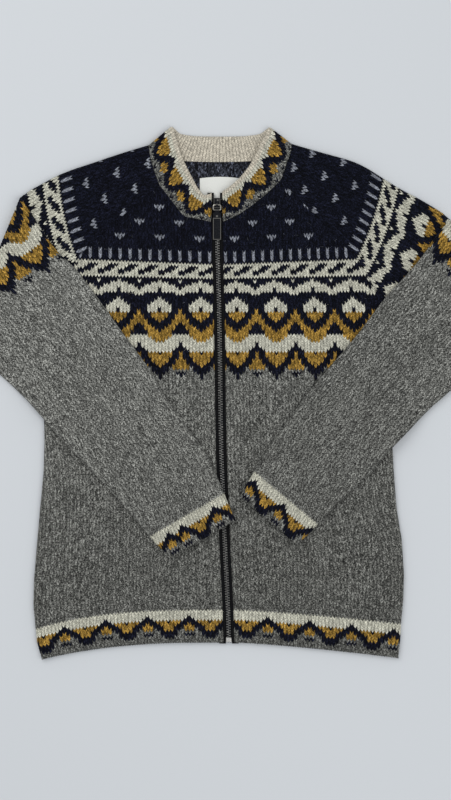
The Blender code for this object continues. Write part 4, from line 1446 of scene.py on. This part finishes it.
@dataclass
class StrayFibres:
    """Loose fibres that stand off the knitting, thicker than real ones so that they show."""

    share: float = 0.055
    length_mm: tuple[float, float] = (2.5, 7.0)
    width_mm: float = 0.2
    pale_share: float = 0.3
    pale_light: float = 0.6
    rise_mm: float = 1.1
    rises: tuple[float, float] = (0.3, 1.3)
    curl: float = 0.35
    taper: float = 0.6
    joints: int = 3

    def build(self, name: str, knit: Knitting, wool: bpy.types.Material, seed: int) -> None:
        """Lays fibres from chance legs of a knitted surface."""
        middle, up, yarn = knit.tufts
        chance = np.random.default_rng(seed)
        picked = chance.choice(len(middle), int(len(middle) * self.share), replace=False)
        root, out, dyed = middle[picked], up[picked], yarn[picked]
        pale_hair = (dyed == Yarn.NAVY.value) & (chance.uniform(size=len(dyed)) < self.pale_share)
        dyed = np.where(pale_hair, Yarn.FLECK.value, dyed)
        way = chance.normal(size=root.shape)
        way -= out * np.sum(way * out, axis=1, keepdims=True)
        way /= np.linalg.norm(way, axis=1, keepdims=True)
        side = np.cross(out, way)
        length = chance.uniform(*self.length_mm, size=len(root))[:, None]
        curl = chance.normal(0.0, self.curl, size=len(root))[:, None]
        rise = self.rise_mm * chance.uniform(*self.rises, size=len(root))[:, None]
        rows = []
        for joint in range(self.joints + 1):
            t = joint / self.joints
            arch = math.sin(math.pi * (0.15 + 0.7 * t))
            spot = root + way * length * t + side * curl * length * t * t + out * rise * arch
            spot[:, 2] = np.maximum(spot[:, 2], FLOOR_CLEAR)
            half = self.width_mm / 2 * (1 - self.taper * t)
            rows.append(np.stack((spot - side * half, spot + side * half), axis=1))
        grid = np.stack(rows, axis=1)
        count = len(root)
        vertices = grid.reshape(-1, 3)
        base = np.arange(count)[:, None] * 2 * (self.joints + 1)
        faces = []
        for joint in range(self.joints):
            a, b = base + 2 * joint, base + 2 * joint + 1
            c, d = base + 2 * joint + 3, base + 2 * joint + 2
            faces += [np.concatenate((a, b, c), axis=1), np.concatenate((a, c, d), axis=1)]
        triangles = np.stack(faces, axis=1).reshape(-1, 3)
        mesh = new_mesh(name, vertices, triangles)
        per = 2 * self.joints
        light = np.exp(chance.normal(0.15, 0.35, size=count)) * np.where(pale_hair, self.pale_light, 1.0)
        mark_faces(mesh, np.repeat(dyed, per), np.repeat(light, per))
        mesh.uv_layers.new(name="strand")
        sew_on(new_object(name, mesh), wool)


class SoftLight(NamedTuple):
    """A square light: where it stands, its side and its power."""

    name: str
    place: tuple[float, float, float]
    size: float
    power: float


@dataclass
class Studio:
    """The pale floor, the soft lights and the camera that looks straight down."""

    floor_colour: str = "#d2d5d8"
    floor_reach: float = 2.0e4
    sky: tuple[float, float, float, float] = (0.95, 0.975, 1.0, 1.0)
    sky_strength: float = 0.665
    lights: tuple[SoftLight, ...] = (
        SoftLight("soft_window", (-1.1, 1.3, 1.9), 1.6, 18.6),
        SoftLight("soft_fill", (1.3, -0.9, 2.2), 1.8, 15.2),
    )
    centre: tuple[float, float] = (0.0027, -0.0088)
    frame_height: float = 1.080
    distance: float = 2.6
    garment_level: float = 0.0075
    sensor_mm: float = 36.0

    def build(self) -> None:
        """Makes floor, lights and camera."""
        self.add_floor()
        self.add_lights()
        self.add_camera()
        bpy.context.scene.view_settings.view_transform = "Standard"

    def add_floor(self) -> None:
        """Lays the plain painted board."""
        reach = self.floor_reach
        corners = [[[x, y, 0.0] for x in (-reach, reach)] for y in (-reach, reach)]
        mesh = grid_mesh("floor", np.array(corners))
        material, tree, shader = start_material("painted_board_floor")
        feed(tree, shader, {
            "Base Color": (*linear(self.floor_colour), 1.0), "Roughness": 0.9, "Specular IOR Level": 0.1,
        })
        mesh.materials.append(material)
        new_object("floor", mesh)

    def add_lights(self) -> None:
        """Lights the world evenly and adds the two soft lights."""
        world = bpy.data.worlds.new("studio_world")
        world.use_nodes = True
        tree = world.node_tree
        feed(tree, tree.nodes["Background"], {"Color": self.sky, "Strength": self.sky_strength})
        bpy.context.scene.world = world
        for light in self.lights:
            data = bpy.data.lights.new(light.name, "AREA")
            data.shape = "SQUARE"
            data.size = light.size
            data.energy = light.power
            lamp = new_object(light.name, data)
            lamp.location = light.place
            lamp.rotation_euler = (-Vector(light.place)).to_track_quat("-Z", "Y").to_euler()

    def add_camera(self) -> None:
        """Sets the camera straight above the garment."""
        data = bpy.data.cameras.new("camera")
        data.sensor_fit = "VERTICAL"
        data.sensor_height = self.sensor_mm
        data.lens = self.sensor_mm * self.distance / self.frame_height
        data.clip_end = 60.0
        camera = new_object("camera", data)
        camera.location = (*self.centre, self.garment_level + self.distance)
        bpy.context.scene.camera = camera


def dress(node: str, material: bpy.types.Material) -> None:
    """Gives a carried-over solid its finish."""
    thing = bpy.data.objects[node]
    for place in thing.material_slots:
        place.material = material
    if not thing.material_slots:
        thing.data.materials.append(material)


LAID_LEFT = (
    Section(-261, 246, -329, 51), Section(-249, 226, -302, 26), Section(-225, 191, -279, 5),
    Section(-200, 169, -257, -17), Section(-167, 125, -221, -59), Section(-132, 76, -187, -95),
    Section(-97, 29, -153, -130), Section(-75, -11, -133, -153), Section(-51, -43, -114, -175),
    Section(-24, -79, -97, -196), Section(-3, -125, -84, -210), Section(7, -151, -76, -215),
    Section(16, -171, -70, -221),
)
LAID_RIGHT = (
    Section(288, 217, 334, 30), Section(281, 203, 320, 16), Section(264, 179, 300, -2),
    Section(240, 152, 281, -18), Section(221, 133, 263, -36), Section(201, 106, 246, -54),
    Section(181, 79, 228, -72), Section(142, 34, 196, -109), Section(111, -3, 174, -129),
    Section(79, -47, 150, -151), Section(53, -86, 132, -171), Section(36, -115, 118, -186),
    Section(26, -130, 108, -196), Section(22, -140, 98, -203),
)
SHOULDER_LEFT = (
    Place(-236, 288), Place(-225, 294), Place(-205, 302), Place(-180, 310), Place(-151, 320),
    Place(-126, 328), Place(-104, 334.5),
)
SHOULDER_RIGHT = (
    Place(240, 275), Place(216, 290), Place(188, 308), Place(167, 316), Place(144, 322),
    Place(119, 329), Place(93.5, 336.5),
)


def fronts() -> tuple[FrontPanel, FrontPanel]:
    """The two fronts with their own widths, charts and creases."""
    left = FrontPanel(
        "knit_front_left", -1.0, SIDE_LEFT, RAGLAN_LEFT, NECK_LEFT, 3.0, 54, 4.66, 4.48, 9, -1,
        (
            Ridge(-200, -250, -150, -90, 16, 0.7), Ridge(-120, -300, -105, -150, 22, -0.5),
            Ridge(-60, -60, -110, 90, 18, 0.6), Ridge(-40, -300, -30, -190, 14, 0.5),
        ),
        seed=SEED + 1,
    )
    right = FrontPanel(
        "knit_front_right", 1.0, SIDE_RIGHT, RAGLAN_RIGHT, NECK_RIGHT, 1.3, 48, 4.39, 4.17, 3, 1,
        (
            Ridge(190, -270, 130, -110, 18, 0.7), Ridge(90, -310, 110, -200, 20, -0.5),
            Ridge(40, -40, 120, 60, 20, 0.5), Ridge(45, -250, 30, -90, 15, 0.5),
        ),
        # Painted light and shade on the marl: lighter above, darker at the hem
        marl_painted_light=(1.13, 0.8), seed=SEED + 2,
    )
    return left, right


def sleeves() -> tuple[SleeveTube, SleeveTube]:
    """The two sleeves with their own folds, charts and creases."""
    left = SleeveTube(
        "knit_sleeve_left", -1.0, SHOULDER_LEFT, RAGLAN_LEFT, BACK_RAGLAN_LEFT,
        (Section(-245, 283, -275, 93), Section(-254, 278, -310, 85.5)),
        (Place(-273, 268), Place(-352, 76)), LAID_LEFT, Place(-86, 340), -242.0,
        Place(195.2, 329.5), 420.0, 168, ((-33, 4.62), (20, 4.62), (60, 4.45), (150, 4.15)), -1, -6,
        (
            Ridge(-290, 60, -190, 20, 13, 0.9), Ridge(-262, 110, -215, 40, 10, -0.7),
            Ridge(-230, 150, -160, 60, 12, 0.6), Ridge(-150, 0, -80, -90, 14, 0.6),
        ),
        # Painted light on the marl: the left sleeve is lighter than the body, most near the yoke
        border_join=-20, join_shift=-23, marl_painted_light=(1.48, 1.12), seed=SEED + 3,
    )
    right = SleeveTube(
        "knit_sleeve_right", 1.0, SHOULDER_RIGHT, RAGLAN_RIGHT, BACK_RAGLAN_RIGHT,
        (Section(262, 264, 266, 79), Section(281, 253, 304, 65)),
        (Place(306, 237), Place(352, 48)), LAID_RIGHT, Place(76, 342), 232.0,
        Place(-174.2, 361.1), 397.0, 165, ((-33, 4.12), (20, 4.12), (60, 4.4), (150, 4.15)), 1, -3,
        (
            Ridge(300, 90, 240, 30, 12, 0.8), Ridge(270, 120, 215, 70, 12, -0.6),
            Ridge(200, 30, 130, -70, 15, 0.6),
        ),
        # Painted light on the marl: the right sleeve is lighter than the body, most near the yoke
        marl_painted_light=(1.22, 1.02), seed=SEED + 4,
    )
    return left, right


def declare(knits: dict[str, Knitting]) -> None:
    """Hides the solid that each knitted piece stands for and logs the piece's area against its flat cut; how
    each piece lies and what it rests on are listed but not used.
    """
    for name, node, size, held, under in (
        ("knit_front_left", "front_left", (0.262, 0.66), "laid", ["back"]),
        ("knit_front_right", "front_right", (0.262, 0.66), "laid", ["back"]),
        ("knit_back", "back", (0.52, 0.69), "laid", ["floor"]),
        ("knit_sleeve_left", "sleeve_left", (0.42, 0.74), "folded", ["floor", "knit_front_left"]),
        ("knit_sleeve_right", "sleeve_right", (0.42, 0.74), "folded", ["floor", "knit_front_right"]),
        ("knit_collar", "collar", (0.50, 0.1), "folded", ["knit_back_inside"]),
    ):
        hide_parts(node)
        log.info("%s: %.3f of %.3f m2", name, knits[name].area, size[0] * size[1])


def main() -> None:
    """Builds the cardigan's pieces in order and reports them."""
    logging.basicConfig(level=logging.INFO, format="%(name)s: %(message)s")
    Studio().build()
    wool = WoollenSpunWool().material()
    tape = WovenTape("zip_tape_polyester_woven", "#0a0a0c", 0.9, 0.4).material()
    satin = WovenTape("label_satin_woven", "#e4e4de", 0.7, 0.05, 0.5).material()
    gunmetal = PlatedMetal("zinc_alloy_gunmetal_plated", "#636362", "#bcb9b2", 0.32).material()
    # Painted highlights: bright lines round the tab's recess, the slider and next to the link, and glint dots
    # on the rivet and on the slider's top
    pull = PlatedMetal(
        "zinc_alloy_black_nickel_plated", "#202124", "#303134", 0.36, highlight_lines=(
            PaintedHighlightLine(-8.8, 222.3, 5.3, 14.5, 0.8), PaintedHighlightLine(-8.8, 239.2, 1.3, 1.3, 2.6),
            PaintedHighlightLine(-8.8, 257.2, 4.2, 6.8, 0.5), PaintedHighlightLine(-7.8, 260.8, 1.1, 1.1, 2.2),
            PaintedHighlightLine(-8.8, 251.2, 4.8, 4.2, 0.9),
        ),
    ).material()
    # Painted highlight: the black nickel link is coloured pale all over to stand for the glints along its
    # wire
    wire = PlatedMetal("steel_wire_black_nickel_rubbed", "#a8a398", "#d8d4ca", 0.3).material()
    nickel = PlatedMetal("zinc_alloy_nickel_plated", "#b9b7b2", "#e2e0da", 0.32).material()
    knits = {}
    for panel in (*fronts(), *sleeves()):
        knits[panel.name] = panel.build(wool)
    for knit in BackPanel().build(wool):
        knits[knit.name] = knit
    knits["knit_collar"] = CollarBand().build(wool)
    ZipTeeth().build(gunmetal, tape)
    for node, material in (
        ("zip_tape_left", tape), ("zip_tape_right", tape), ("neck_label", satin), ("zip_bottom_box", nickel),
        ("zip_slider", pull), ("zip_pull_link", wire), ("zip_pull_tab", pull),
    ):
        dress(node, material)
    fibres = StrayFibres()
    for index, name in enumerate(("front_left", "front_right", "sleeve_left", "sleeve_right", "collar")):
        fibres.build("fibres_" + name, knits["knit_" + name], wool, SEED + 20 + index)
    declare(knits)


if __name__ == "__main__":
    main()
